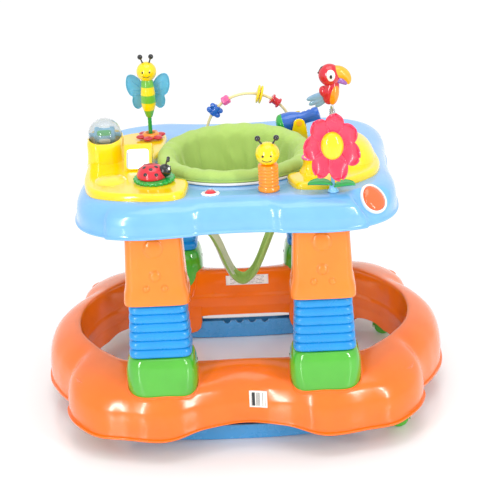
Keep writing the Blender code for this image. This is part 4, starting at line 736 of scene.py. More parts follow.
# ---------------------------------------------------------------- legs
class WALKER_OT_legs(bpy.types.Operator):
    """Build the four legs: foot bulb, ribbed column and sleeve"""
    bl_idname = "walker.legs"
    bl_label = "Legs"

    def bulb(self, name, sx, sy):
        x, y = sx * LEG_X, sy * LEG_Y
        low, tall = 0.103, 0.078
        shape = through([(0.7, 0.0), (0.86, 0.02), (0.945, 0.12), (0.985, 0.3), (1.0, 0.48), (0.99, 0.66),
                         (0.955, 0.82), (0.91, 0.92), (0.86, 0.975), (0.8, 0.998), (0.7, 1.0)], 3)
        bm = bmesh.new()
        rings = []
        for p in shape:
            power = 3.1 + 0.9 * p[1]
            rings.append([Vector((px, py, low + tall * p[1]))
                          for px, py in squircle(x, y, 0.06 * p[0], 0.046 * p[0], power, 64)])
        loft(bm, rings)
        # screw holes on the faces that look into the walker: small black discs, painted shade in place of the dark
        # inside of each hole
        for rise in (0.42, 0.72):
            spot = Vector((x - sx * 0.058, y - sy * 0.004, low + tall * rise))
            lathe(bm, [(0.0, -0.0005), (0.0022, -0.0005), (0.0028, 0.0012), (0.0, 0.0012)], spot, (-sx, 0, 0), 20, 1)
        put(f"bulb_{name}", bm, ["green", "black"], "base", f"foot_bulb_{name}", 45.0)

    def column(self, name, sx, sy):
        sizes = settings().sizes
        x, y = sx * LEG_X, sy * LEG_Y
        foot, pitch, count = 0.1813, 0.1395 / sizes.ribs, sizes.ribs
        bm = bmesh.new()
        rings = []

        def ring(z, inset):
            lost = 0.055 * (z - foot) + inset
            return [Vector((px, py, z)) for px, py in squircle(x, y, 0.0525 - lost, 0.038 - lost, 7.0, 64)]

        for k in range(count):
            for s in range(8):
                u = s / 8
                deep = sizes.rib_depth * (1 - math.sin(math.pi * u) ** 0.42) if s else sizes.rib_depth
                rings.append(ring(foot + (k + u) * pitch, deep))
        top = foot + count * pitch
        rings += [ring(top, sizes.rib_depth), ring(top, 0.0068), ring(0.37, 0.0068), ring(0.372, 0.0085)]
        loft(bm, rings)
        put(f"column_{name}", bm, ["column"], "base", f"ribbed_column_{name}", 60.0)

    def sleeve(self, name, sx, sy):
        x, y = sx * LEG_X, sy * LEG_Y
        low = 0.277
        top = tray_z(y + sy * 0.04, -0.0155)
        bm = bmesh.new()
        levels = [(0.0, 0.003), (0.0008, 0.001), (0.003, 0.0002), (0.01, 0.0), (0.02, 0.0004), (0.028, 0.0022),
                  (0.036, 0.0026)]
        levels += [(0.036 + (top - low - 0.036) * k / 10, 0.0026 - 0.002 * k / 10) for k in range(1, 11)]
        rings = []
        for rise, inset in levels:
            lost = 0.06 * rise + inset
            ring = []
            for px, py in squircle(x, y, 0.0545 - lost, 0.04 - lost, 6.5, 96):
                # a raised panel runs up the outer face, with a chamfer down each side
                across = abs(px - x) / (0.0545 - lost)
                panel = smooth_step(across, 0.66, 0.6) * smooth_step(rise, 0.018, 0.03)
                strip = smooth_step(across, 0.6, 0.66) * smooth_step(across, 0.98, 0.9)
                push = 0.0016 * panel - 0.0011 * strip * smooth_step(rise, 0.018, 0.03)
                face = smooth_step(abs(py - y) / (0.04 - lost), 0.8, 0.95)
                ring.append(Vector((px, py + math.copysign(push * face, py - y), low + rise)))
            rings.append(ring)
        core = []
        for rise in (top - low, 0.002):
            lost = 0.06 * rise + 0.0042
            core.append([Vector((px, py, low + rise))
                         for px, py in squircle(x, y, 0.0545 - lost, 0.04 - lost, 6.5, 96)])
        loft(bm, rings + core + [rings[0]], caps=(False, False))
        for height, dx, radius, proud in ((0.3775, 0.0, 0.0172, 0.005), (0.33, 0.0, 0.0095, 0.0038),
                                          (0.3085, -0.015, 0.0054, 0.0028), (0.3085, 0.015, 0.0054, 0.0028)):
            face = 0.04 - 0.06 * (height - low) - 0.0026 + 0.0021
            if height > tray_z(y + sy * 0.04, -0.053) - radius and sy > 0:
                continue
            spot = (x + dx, y + sy * face, height)
            lean = Vector((0, sy, 0.06)).normalized()
            profile = through([(0, proud), (radius * 0.45, proud * 0.9), (radius * 0.8, proud * 0.52),
                               (radius * 0.97, 0.0006), (radius * 1.1, 0.0), (radius * 1.1, -0.0015)], 4)
            lathe(bm, [(p[0], p[1]) for p in profile], spot, lean, 36)
        put(f"sleeve_{name}", bm, ["sleeve"], "tray", f"leg_sleeve_{name}", 40.0)

    def execute(self, context):
        for name, sx, sy in CORNERS:
            self.bulb(name, sx, sy)
            self.column(name, sx, sy)
            self.sleeve(name, sx, sy)
        return {"FINISHED"}


# ---------------------------------------------------------------- rockers and casters
def rocker_low(x):
    """Height of the rocker's running edge: a short flat with an arc on each side."""
    away = max(0.0, abs(x + 0.01) - 0.02)
    return ROCKER_RADIUS - math.sqrt(ROCKER_RADIUS ** 2 - away ** 2)


class WALKER_OT_rockers(bpy.types.Operator):
    """Build the two curved rockers"""
    bl_idname = "walker.rockers"
    bl_label = "Rockers"

    def execute(self, context):
        for name, sy in (("front", -1), ("rear", 1)):
            mid = sy * ROCKER_Y
            bm = bmesh.new()
            marks = [-0.186, -0.1855, -0.184, -0.18]
            marks += [-0.176 + 0.352 * k / 176 for k in range(177)]
            marks += [0.18, 0.184, 0.1855, 0.186]
            rings = []
            for x in marks:
                end = max(0.0, (abs(x) - 0.178) / 0.008)
                half = 0.016 - 0.005 * end ** 2
                low = rocker_low(x) + 0.0025 * end ** 2
                rim = 0.036
                for k in range(4):
                    off = x - (k - 1.5) * 0.024
                    if abs(off) < 0.008:
                        rim = min(rim, 0.038 - math.sqrt(0.008 ** 2 - off ** 2))
                outer_rim = min(0.0275 + 0.0045 * smooth_step(abs(x), 0.05, 0.17), rim)
                tall = ((-half, outer_rim), (-half, low + 0.004), (-half + 0.0012, low + 0.001), (-half + 0.004, low),
                        (half - 0.004, low), (half - 0.0012, low + 0.001), (half, low + 0.004), (half, rim),
                        (half - 0.0028, rim), (half - 0.0028, low + 0.003), (-half + 0.0028, low + 0.003),
                        (-half + 0.0028, outer_rim))
                rings.append([Vector((x, mid - sy * off, z)) for off, z in tall])
            loft(bm, rings)
            for side in (-1, 1):
                # upright ribs across the trough, the end wall, and the post that slides in the base
                for at, width in ((0.088, 0.0055), (0.118, 0.004), (0.16, 0.004)):
                    block(bm, (side * at - width, mid - 0.015, rocker_low(side * at) + 0.002),
                          (side * at + width, mid + 0.015, 0.0335), 0.0008, 2)
                block(bm, (side * POST_X - 0.0085, mid - 0.012, 0.0225),
                      (side * POST_X + 0.0085, mid + 0.012, 0.08), 0.0012)
                toe = []
                for k in range(13):
                    t = k / 12
                    x = side * (0.183 + 0.025 * t)
                    shrink = math.sqrt(max(0.0, 1 - (t * 0.985) ** 4))
                    low = rocker_low(x)
                    toe.append([Vector((x, mid + 0.0152 * shrink * cx,
                                        low + 0.001 + (0.0255 - low) * (0.5 + 0.5 * cz * shrink)))
                                for cx, cz in squircle(0, 0, 1, 1, 5.0, 24)])
                loft(bm, toe)
            put(f"rocker_runner_{name}", bm, ["rocker"], f"rocker_{name}", f"rocker_{name}", 32.0)
        return {"FINISHED"}


class WALKER_OT_casters(bpy.types.Operator):
    """Build the four retracting casters"""
    bl_idname = "walker.casters"
    bl_label = "Casters"

    def execute(self, context):
        for name, sx, sy in CORNERS:
            x, y = sx * CASTER_X, sy * CASTER_Y
            lift = 0.0 if sx > 0 else RETRACT
            hub = Vector((x + 0.004, y, WHEEL_R + lift))
            bm = bmesh.new()
            rim = through([(0.0062, 0.0135), (0.01, 0.0134), (0.014, 0.0132), (0.016, 0.0122), (0.017, 0.0102),
                           (0.017, 0.006), (0.0166, 0.0047), (0.015, 0.0045)], 3)
            for side in (-1, 1):
                half = [(p[0], side * p[1]) for p in rim] + [(0.003, side * 0.0045)]
                hubcap = [(0.0, side * 0.0122), (0.0035, side * 0.0124), (0.0045, side * 0.0132),
                          (0.0056, side * 0.0132)]
                lathe(bm, hubcap + half, hub, (0, 1, 0), 48)
                lathe(bm, [(0.0, side * 0.0128), (0.0022, side * 0.0128), (0.0024, side * 0.012)], hub, (0, 1, 0),
                      20, 1)
            lathe(bm, [(0.003, -0.0046), (0.003, 0.0046)], hub, (0, 1, 0), 24, 1)
            put(f"wheels_{name}", bm, ["green", "steel"], f"caster_wheels_{name}", f"caster_wheels_{name}",
                30.0)
            bm = bmesh.new()
            hood = [(0.0183, -0.0138), (0.0195, -0.0138), (0.02, -0.013), (0.02, 0.013), (0.0195, 0.0138),
                    (0.0183, 0.0138), (0.0181, 0.013), (0.0181, -0.013), (0.0183, -0.0138)]
            place = Matrix.Translation(hub)
            start = Matrix.Rotation(math.radians(6), 4, "Y")
            verts = [bm.verts.new(place @ start @ Vector((r, a, 0))) for r, a in hood[:-1]]
            edges = [bm.edges.new(p) for p in zip(verts, verts[1:] + verts[:1])]
            bmesh.ops.contextual_create(bm, geom=edges)
            faces = bm.faces[:]
            bmesh.ops.spin(bm, geom=faces + verts + edges, cent=hub, axis=(0, 1, 0), dvec=(0, 0, 0),
                           angle=-math.radians(192), steps=28, use_merge=False, use_duplicate=False)
            # the web between the wheels carries the axle and the swivel pin
            web = [(0.0188 * math.cos(math.radians(a)), 0.0188 * math.sin(math.radians(a))) for a in range(-6, 187, 8)]
            web += [(-0.0065, -0.0055), (0.0, -0.0068), (0.0065, -0.0055)]
            stand = Matrix.Translation(hub - Vector((0, -0.0041, 0))) @ Matrix.Rotation(math.radians(90), 4, "X")
            plate(bm, web, 0.0082, stand, 0.0004)
            lathe(bm, [(0.0, 0.015), (0.0062, 0.015), (0.0062, 0.0205), (0.005, 0.0225), (0.005, 0.0275 + 0.0085),
                       (0.0, 0.0275 + 0.0085)], (x, y, WHEEL_R + lift), steps=28)
            put(f"fork_{name}", bm, ["green"], f"caster_fork_{name}", f"caster_fork_{name}", 35.0)
            bm = bmesh.new()
            low = 0.0375 + lift
            lathe(bm, [(0.0054, 0.0008), (0.0062, 0.0), (0.011, 0.0), (0.0118, 0.0016), (0.024, 0.0016),
                       (0.0262, 0.0), (0.027, 0.0004), (0.0275, 0.0012), (0.0275, 0.007), (0.0268, 0.008),
                       (0.006, 0.008), (0.0054, 0.0074), (0.0054, 0.0008)], (x, y, low), steps=56)
            put(f"carrier_{name}", bm, ["grey"], f"caster_carrier_{name}", f"caster_carrier_{name}",
                30.0)
        return {"FINISHED"}


# ---------------------------------------------------------------- tray
TRAY_QUARTER = ((0.985, 0.0), (0.989, 0.25), (1.0, 0.47), (0.985, 0.655), (0.932, 0.8), (0.835, 0.909),
                (0.707, 0.972), (0.53, 1.0), (0.27, 0.97), (0.0, 0.955))


class WALKER_OT_tray(bpy.types.Operator):
    """Build the tray shell with its leg bosses"""
    bl_idname = "walker.tray"
    bl_label = "Tray"

    def execute(self, context):
        sizes = settings().sizes
        edge = through([(x * 0.266, y * 0.277) for x, y in four_fold(TRAY_QUARTER)], 9, closed=True)
        seat = Vector((0, SEAT_Y))
        # inset from the edge and height above the skirt's lower edge
        section = through([(-0.003, 0.0), (-0.0036, 0.0022), (-0.0008, 0.0046), (0.0, 0.01), (0.0005, 0.022),
                           (0.003, 0.033), (0.008, 0.0415), (0.016, 0.048), (0.025, 0.0515), (0.033, 0.053),
                           (0.04, 0.053)], 3)
        bm = bmesh.new()
        rings = []
        for inset, rise in section:
            ring = []
            for p in edge:
                out = p.normalized()
                q = p - out * inset
                # the skirt swells over each leg, with a crease at either side of the swelling
                swell = smooth_step(abs(abs(p.x) - LEG_X), 0.077, 0.066) * smooth_step(abs(p.y), 0.19, 0.23)
                q += out * sizes.boss * swell * smooth_step(rise, 0.052, 0.038)
                hump = 0.0025 * math.exp(-((abs(p.x) - LEG_X) / 0.045) ** 2) * smooth_step(abs(p.y), 0.19, 0.23)
                hump *= math.exp(-((inset - 0.014) / 0.01) ** 2)
                spot = Vector((q.x, q.y, tray_z(q.y, rise - TRAY_SKIRT) + hump))
                # the corner is flat round the oval button
                proud = (spot - OVAL_AT).dot(OVAL_FACING)
                near = (spot - OVAL_AT - OVAL_FACING * proud).length
                spot -= OVAL_FACING * max(0.0, proud + 0.001) * smooth_step(near, 0.05, 0.028)
                ring.append(spot)
            rings.append(ring)
        for radius, height in ((0.131, 0.053), (0.1285, 0.0527), (0.1273, 0.0518), (0.127, 0.05), (0.127, 0.028),
                               (0.127, 0.027)):
            ring = []
            for p in edge:
                q = seat + (p - seat).normalized() * radius
                ring.append(Vector((q.x, q.y, tray_z(q.y, height - TRAY_SKIRT))))
            rings.append(ring)
        loft(bm, rings, caps=(False, False))
        put("tray_top", bm, ["tray"], "tray", "tray_shell", 40.0, sizes.wall, upward=True)
        return {"FINISHED"}


# ---------------------------------------------------------------- seat
def seat_place():
    """Places seat pieces, made about Z, on the sloping tray."""
    axis = Vector((0, TRAY_FALL, 1)).normalized()
    turn = Vector((0, 0, 1)).rotation_difference(axis).to_matrix().to_4x4()
    return Matrix.Translation((0, SEAT_Y, tray_z(SEAT_Y, 0.0009))) @ turn


def swell_cloth(piece, cap):
    """Inflates a closed piece as cloth, and limits how far any point moves."""
    context = bpy.context
    before = [v.co.copy() for v in piece.data.vertices]
    cloth = piece.modifiers.new("cloth", "CLOTH")
    cloth.settings.quality = 5
    cloth.settings.mass = 0.25
    cloth.settings.tension_stiffness = 12
    cloth.settings.bending_stiffness = 0.6
    cloth.settings.use_pressure = True
    cloth.settings.uniform_pressure_force = 4.0
    cloth.settings.effector_weights.gravity = 0.0
    cloth.collision_settings.use_collision = False
    cloth.point_cache.frame_start, cloth.point_cache.frame_end = 1, 20
    for step in range(1, 21):
        context.scene.frame_set(step)
    shaped = bpy.data.meshes.new_from_object(piece.evaluated_get(context.evaluated_depsgraph_get()))
    piece.modifiers.remove(cloth)
    context.scene.frame_set(1)
    for vert, start, moved in zip(piece.data.vertices, before, shaped.vertices):
        step = moved.co - start
        if step.length > cap:
            step = step.normalized() * cap
        vert.co = start + step
    bpy.data.meshes.remove(shaped)


class WALKER_OT_seat(bpy.types.Operator):
    """Build the turning seat ring, its padded cover and the crotch sling"""
    bl_idname = "walker.seat"
    bl_label = "Seat"

    def cover(self):
        sizes = settings().sizes
        place = seat_place()
        bm = bmesh.new()
        outline = through([(0.129, 0.005), (0.1325, 0.008), (0.1335, 0.013), (0.131, 0.0195), (0.125, 0.0235),
                           (0.116, 0.024), (0.108, 0.0215), (0.1035, 0.015), (0.1015, 0.004), (0.0995, -0.015),
                           (0.0965, -0.042), (0.0925, -0.068), (0.089, -0.085), (0.0915, -0.0885),
                           (0.0955, -0.086), (0.099, -0.066), (0.103, -0.04), (0.1055, -0.015),
                           (0.1062, 0.002), (0.112, 0.0048)], 3, closed=True)
        lathe(bm, [(p[0], p[1]) for p in outline] + [(outline[0][0], outline[0][1])], steps=112)
        bmesh.ops.remove_doubles(bm, verts=bm.verts[:], dist=1e-5)
        bmesh.ops.recalc_face_normals(bm, faces=bm.faces[:])
        mesh = bpy.data.meshes.new("seat_cover")
        bm.to_mesh(mesh)
        bm.free()
        piece = bpy.data.objects.new("seat_cover", mesh)
        bpy.context.scene.collection.objects.link(piece)
        voxels = piece.modifiers.new("voxels", "REMESH")
        voxels.mode = "VOXEL"
        voxels.voxel_size = 0.0042
        even = bpy.data.meshes.new_from_object(piece.evaluated_get(bpy.context.evaluated_depsgraph_get()))
        piece.modifiers.remove(voxels)
        piece.data = even
        swell_cloth(piece, 0.0025)
        # gathers run down the inside; the rear of the rim stands higher
        for vert in piece.data.vertices:
            p = vert.co
            radius = math.hypot(p.x, p.y)
            around = math.atan2(p.y, p.x)
            inside = smooth_step(p.z, 0.02, -0.02) * smooth_step(radius, 0.125, 0.108)
            wander = noise.noise(Vector((math.cos(around), math.sin(around), p.z * 9)) * 2.1) * 0.55
            fold = (math.sin(17 * around + 1.2 + wander * 3) + 0.6 * math.sin(31 * around + 0.4 + wander * 5)
                    + 0.5 * math.sin(7 * around + 2.2))
            crease = -max(0.0, math.cos(11 * around + wander * 4)) ** 14
            push = sizes.fold_depth * (0.62 * fold + 1.7 * crease) * (0.1 + 0.9 * inside)
            push *= smooth_step(p.z, -0.092, -0.06) * 0.55 + 0.45
            rim = 0.0009 * math.sin(23 * around + wander * 6) * smooth_step(p.z, 0.012, 0.022)
            if radius > 1e-6:
                p.x += p.x / radius * (push * 0.9)
                p.y += p.y / radius * (push * 0.9)
            lift = sizes.rim_lift * smooth_step(p.z, -0.005, 0.022) * max(0.0, 0.35 + p.y / 0.1335) / 1.35
            p.z += rim + lift
            # the rear wall leans back, the front roll sags inwards a little
            back = max(0.0, p.y / 0.1) * smooth_step(p.z, -0.03, 0.02)
            front = max(0.0, -p.y / 0.1) * smooth_step(radius, 0.12, 0.1) * smooth_step(p.z, -0.02, 0.015)
            p.y += 0.004 * back + 0.006 * front
            p.z -= 0.004 * front
        piece.data.transform(place)
        piece.data.materials.clear()
        piece.data.materials.append(finish("cloth"))
        piece.data.polygons.foreach_set("use_smooth", [True] * len(piece.data.polygons))
        finer = piece.modifiers.new("finer", "SUBSURF")
        finer.levels = finer.render_levels = 1
        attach(piece, "seat")
        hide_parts("seat_rim_pad", "seat_band")
        # piping runs round the foot of the rim
        bm = bmesh.new()
        path = [place @ Vector((0.1322 * math.cos(math.tau * k / 120), 0.1322 * math.sin(math.tau * k / 120), 0.0062))
                for k in range(121)]
        tube(bm, path, 0.0013, 8, caps=False)
        put("cover_piping", bm, ["cloth"], "seat")

    def ring(self):
        bm = bmesh.new()
        lathe(bm, [(0.112, 0.003), (0.1128, 0.004), (0.1335, 0.004), (0.1345, 0.003), (0.1345, 0.0006),
                   (0.1339, 0.0), (0.1232, 0.0), (0.123, -0.001), (0.1228, -0.0232), (0.122, -0.024),
                   (0.1128, -0.024), (0.112, -0.0232), (0.112, 0.003)], steps=112)
        bm.transform(seat_place())
        put("seat_bearing", bm, ["white"], "seat", "seat_ring", 30.0)

    def sling(self):
        sizes = settings().sizes
        place = seat_place()
        top = -0.086
        route = through([(-0.0885, top + 0.004), (-0.08, top - 0.004), (-0.066, top - 0.012), (-0.048, top - 0.03),
                         (-0.034, top - 0.056), (-0.022, top - 0.086), (-0.01, top - 0.108), (0.004, -0.2035),
                         (0.018, top - 0.108), (0.03, top - 0.088), (0.044, top - 0.056), (0.056, top - 0.03),
                         (0.068, top - 0.014), (0.08, top - 0.005), (0.0885, top + 0.004)], 6)
        bm = bmesh.new()
        rings = []
        for i, p in enumerate(route):
            share = i / (len(route) - 1)
            before, after = route[max(0, i - 1)], route[min(len(route) - 1, i + 1)]
            along = (after - before).normalized()
            normal = Vector((-along.y, along.x))
            pulled = math.sin(math.pi * share) ** 0.8
            half = sizes.sling_width / 2 * (1 - 0.26 * pulled)
            ring = []
            for k in range(25):
                t = k / 24 * 2 - 1
                pleat = 0.003 * pulled * math.sin(t * 9.5 + 3.1 * share)
                pleat += 0.0016 * pulled * math.sin(t * 19 - share * 6)
                cup = 0.006 * pulled * (1 - t * t)
                hem = 0.0008 * smooth_step(abs(t), 0.9, 0.97)
                offset = normal * (pleat - cup + hem)
                ring.append(place @ Vector((p.x + offset.x, half * t + 0.0012 * math.sin(share * 25), p.y + offset.y)))
            rings.append(ring)
        loft(bm, rings, closed=False)
        for face in bm.faces:
            # the lining shows on the left leg
            if face.calc_center_median().x < -0.012:
                face.material_index = 1
        area = sum(f.calc_area() for f in bm.faces)
        piece = put("seat_sling", bm, ["cloth", "lining"], "seat", "crotch_sling", 180.0, 0.0022)
        piece.modifiers["wall"].offset = 0.0
        # the bound edges of the sling
        for side, name in ((0, "sling_binding_front"), (24, "sling_binding_rear")):
            bm = bmesh.new()
            tube(bm, [ring[side] for ring in rings], 0.0021, 10)
            put(name, bm, ["cloth"], "seat")

    def execute(self, context):
        self.ring()
        self.cover()
        self.sling()
        return {"FINISHED"}


# ---------------------------------------------------------------- toys on the left
def seat_arc(radius, start, end, count):
    """Places round the seat, from one angle in degrees to another."""
    return [(radius * math.cos(math.radians(start + (end - start) * k / count)),
             SEAT_Y + radius * math.sin(math.radians(start + (end - start) * k / count))) for k in range(count + 1)]


def raised_panel(bm, outline, tall=PANEL_TALL):
    """A raised panel on the sloping tray, with rounded shoulders; its side reaches down over the tray's edge."""
    def drop(q):
        return 0.0005 + 0.013 * smooth_step(q.length / 0.26, 0.84, 0.95)

    loop = through(outline, 6, closed=True)
    count = len(loop)
    inward = []
    for i, p in enumerate(loop):
        along = loop[(i + 1) % count] - loop[i - 1]
        inward.append(Vector((-along.y, along.x)).normalized())
    area = sum(a.x * b.y - b.x * a.y for a, b in zip(loop, loop[1:] + loop[:1]))
    if area < 0:
        inward = [-v for v in inward]
    rings = []
    for inset, rise in ((0.0006, None), (0.0, None), (0.0, tall - 0.0068), (0.0004, tall - 0.0046),
                        (0.0015, tall - 0.0024), (0.0032, tall - 0.0008), (0.0054, tall), (0.009, tall)):
        ring = []
        for p, n in zip(loop, inward):
            q = p + n * inset
            level = rise if rise is not None else -drop(q) + (0.0012 if inset == 0.0 else 0.0)
            ring.append(Vector((q.x, q.y, tray_z(q.y, level))))
        rings.append(ring)
    loft(bm, rings, caps=(False, True))


class WALKER_OT_left_toys(bpy.types.Operator):
    """Build the left panel with its picture ball, mirror, bee and ladybird"""
    bl_idname = "walker.left_toys"
    bl_label = "Left toys"

    def panel(self):
        outline = [(-0.241, 0.07), (-0.25, 0.01), (-0.252, -0.06), (-0.25, -0.14), (-0.236, -0.196),
                   (-0.205, -0.226), (-0.165, -0.24), (-0.12, -0.247), (-0.092, -0.24), (-0.08, -0.218)]
        outline += seat_arc(0.1425, 237, 150, 8)
        outline += [(-0.124, 0.08), (-0.126, 0.14), (-0.15, 0.158), (-0.19, 0.152), (-0.224, 0.12)]
        bm = bmesh.new()
        raised_panel(bm, outline)
        # the tower: a thick-walled cup that holds the ball
        bx, by, bz = -0.222, -0.006, 0.487
        foot = tray_z(by, 0.004)
        rings = []
        for z, grow, power in ((foot, 0.0025, 3.0), (foot + 0.01, 0.001, 3.0), (0.462, 0.0, 3.2), (0.4735, 0.0, 3.2),
                               (0.4785, -0.0012, 3.1), (0.4812, -0.0036, 3.0)):
            ring = []
            for x, y in squircle(bx, by, 0.031 + grow, 0.042 + grow, power, 64):
                horn = 0.0035 * math.exp(-((abs(x - bx) - 0.024) / 0.012) ** 2) if z > 0.47 else 0.0
                ring.append(Vector((x, y, z + horn)))
            rings.append(ring)
        for tilt in (12, 24, 40, 58, 76, 88):
            a = math.radians(tilt)
            ring = []
            for k in range(64):
                b = math.tau * k / 64
                ring.append(Vector((bx + 0.0315 * math.cos(a) * math.cos(b), by + 0.0315 * math.cos(a) * math.sin(b),
                                    bz - 0.0315 * math.sin(a))))
            rings.append(ring)
        loft(bm, rings, caps=(False, True))
        # the wedge that carries the mirror, and a raised frame round it
        mx, my = -0.163, -0.078
        deck = tray_z(my, 0.012)
        side = [(my - 0.026, deck - 0.004), (my + 0.027, deck - 0.004), (my + 0.027, deck + 0.0325),
                (my + 0.022, deck + 0.0345), (my + 0.016, deck + 0.0335), (my - 0.024, deck - 0.0004)]
        half = 0.0235
        stand = Matrix(((0, 0, 1, mx - half), (1, 0, 0, 0), (0, 1, 0, 0), (0, 0, 0, 1)))
        plate(bm, side, 2 * half, stand, 0.0025)
        # a smooth swelling in front, on the corner of the panel
        ball(bm, (-0.205, -0.155, tray_z(-0.155, 0.006)), (0.03, 0.04, 0.012))
        put("left_panel", bm, ["yellow"], "tray", "toy_panel_left", 40.0)

    def mirror(self):
        slope = math.atan2(0.033, 0.038)
        low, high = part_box("mirror")
        mid = (Vector(low) + Vector(high)) / 2
        turn = Matrix.Rotation(slope, 4, "X")
        stand = Matrix.Translation(mid) @ turn
        outline = squircle(0, 0, 0.019, 0.019, 7.0, 64)
        bm = bmesh.new()
        plate(bm, outline, 0.0025, stand @ Matrix.Translation((0, 0, -0.00125)), 0.0005)
        put("mirror_plate", bm, ["mirror"], "tray", "mirror")
        bm = bmesh.new()
        path = [stand @ Vector((x, y, 0.0004)) for x, y in squircle(0, 0, 0.02, 0.02, 7.0, 72)]
        tube(bm, path + path[:1], 0.0014, 10, caps=False)
        put("mirror_frame", bm, ["yellow"], "tray")

    def picture_ball(self):
        centre = (-0.222, -0.006, 0.487)
        bm = bmesh.new()
        profile = [(0.029 * math.sin(math.radians(a)), -0.029 * math.cos(math.radians(a))) for a in range(9, 172, 6)]
        inner = [(0.0272 * math.sin(math.radians(a)), -0.0272 * math.cos(math.radians(a))) for a in range(171, 8, -6)]
        lathe(bm, profile + inner + profile[:1], centre, (1, 0, 0), 56)
        put("clear_ball", bm, ["clear"], "tray", "picture_ball", 60.0)
        bm = bmesh.new()
        lathe(bm, [(0, -0.0276), (0.0038, -0.0276), (0.0038, -0.017), (0.0125, -0.017), (0.0138, -0.0162),
                   (0.014, -0.014), (0.014, 0.014), (0.0138, 0.0162), (0.0125, 0.017), (0.0038, 0.017),
                   (0.0038, 0.0276), (0, 0.0276)], centre, (1, 0, 0), 40)
        for k in range(6):
            # raised picture tiles round the drum
            a = math.tau * k / 6
            turn = Matrix.Translation(centre) @ Matrix.Rotation(a, 4, "X") @ Matrix.Translation((0, 0, 0.0135))
            plate(bm, [(x * (1 if k % 2 else 0.8), y) for x, y in squircle(0, 0, 0.012, 0.0048, 5.0, 24)], 0.0016,
                  turn, 0.0004, 1 + k % 2)
        put("picture_roll", bm, ["print_blue", "white", "leaf"], "picture_drum", "picture_drum")

    def bee(self):
        x, y = -0.151, 0.107
        deck = tray_z(y, 0.012)
        foot = deck + 0.0003 + TRAY_FALL * 0.026
        bm = bmesh.new()
        for k in range(6):
            # petals of the base
            a = math.tau * k / 6 + 0.3
            spot = Vector((x + 0.0165 * math.cos(a), y + 0.0165 * math.sin(a), foot + 0.0035))
            ball(bm, spot, (0.0105, 0.0085, 0.0036), Matrix.Rotation(a, 4, "Z"), 20, 12)
        # its middle opens upwards, so that the post can sway
        lathe(bm, through_profile([(0.005, 0.0005), (0.015, 0.0), (0.0165, 0.003), (0.015, 0.0065),
                                   (0.012, 0.009), (0.0098, 0.0096), (0.0084, 0.0088), (0.0066, 0.0048)]),
              (x, y, foot), steps=40, material=1)
        put("bee_base", bm, ["red", "tangerine"], "tray", "bee_flower_base", 60.0)
        bm = bmesh.new()
        tube(bm, [(x, y, foot + 0.001 + (0.4767 - foot - 0.001) * k / 12) for k in range(13)],
             [0.0034 + 0.0004 * (k % 2) for k in range(13)], 18)
        put("bee_post", bm, ["leaf"], "bee_stem", "bee_stem", 50.0)
        bm = bmesh.new()
        lathe(bm, through_profile([(0.0, 0.0), (0.005, 0.0006), (0.0085, 0.01), (0.0118, 0.02), (0.0132, 0.03),
                                   (0.0128, 0.042), (0.0118, 0.054), (0.0108, 0.064), (0.009, 0.0705),
                                   (0.007, 0.0735)]), (x, y, 0.477), steps=44)
        head = (x, y, 0.5612)
        ball(bm, head, (0.0176, 0.0172, 0.0176), None, 36, 24, 1)
        for side in (-1, 1):
            top = Vector((x + side * 0.0095, y - 0.002, 0.5885))
            tube(bm, [(x + side * 0.005, y - 0.001, 0.5755), (x + side * 0.0075, y - 0.0015, 0.582), top],
                 [0.0016, 0.0013, 0.0013], 10, material=2)
            ball(bm, top, 0.0046, None, 20, 14, 2)
            ball(bm, (x + side * 0.0062, y - 0.0157, 0.564), (0.0016, 0.001, 0.0021), None, 14, 10, 2)
        # a plain smile, pressed in and painted
        smile = [(x + 0.0075 * math.sin(math.radians(a)), y - 0.0172 * math.cos(math.radians(a * 0.5)),
                  0.561 - 0.0062 * math.cos(math.radians(a))) for a in range(-60, 61, 10)]
        tube(bm, smile, 0.0005, 8, material=2)
        put("bee_figure", bm, ["bee", "yellow", "black"], "bee", "bee_body", 60.0)
        bm = bmesh.new()
        back = y + 0.0128
        for side in (-1, 1):
            upper = [(0.004, 0.004), (0.014, 0.022), (0.024, 0.031), (0.033, 0.0315), (0.037, 0.024), (0.0375, 0.01),
                     (0.033, -0.003), (0.0275, -0.0075), (0.0285, -0.016), (0.026, -0.026), (0.019, -0.03),
                     (0.012, -0.024), (0.007, -0.012)]
            outline = [(x + side * p[0], 0.52 + p[1]) for p in through(upper, 5, closed=True)]
            stand = Matrix(((1, 0, 0, 0), (0, 0, 1, back), (0, 1, 0, 0), (0, 0, 0, 1)))
            plate(bm, outline, 0.002, stand, 0.0006)
            rim = [(px, back - 0.0004, pz) for px, pz in outline]
            tube(bm, rim + rim[:1], 0.0011, 8, caps=False)
            for a, b in ((0.3, 0.78), (1.0, 0.8), (-0.55, 0.66)):
                tube(bm, [(x + side * (0.006 + 0.027 * b * t), back - 0.0003,
                           0.52 + (0.027 * b * t) * math.tan(a) * 0.62) for t in (0.0, 0.25, 0.5, 0.75, 1.0)],
                     [0.0007, 0.0007, 0.0006, 0.0005, 0.0003], 8)
        block(bm, (x - 0.009, y + 0.0115, 0.508), (x + 0.009, back + 0.0022, 0.531), 0.001)
        put("bee_film_wings", bm, ["wing"], "bee", "bee_wings", 40.0)

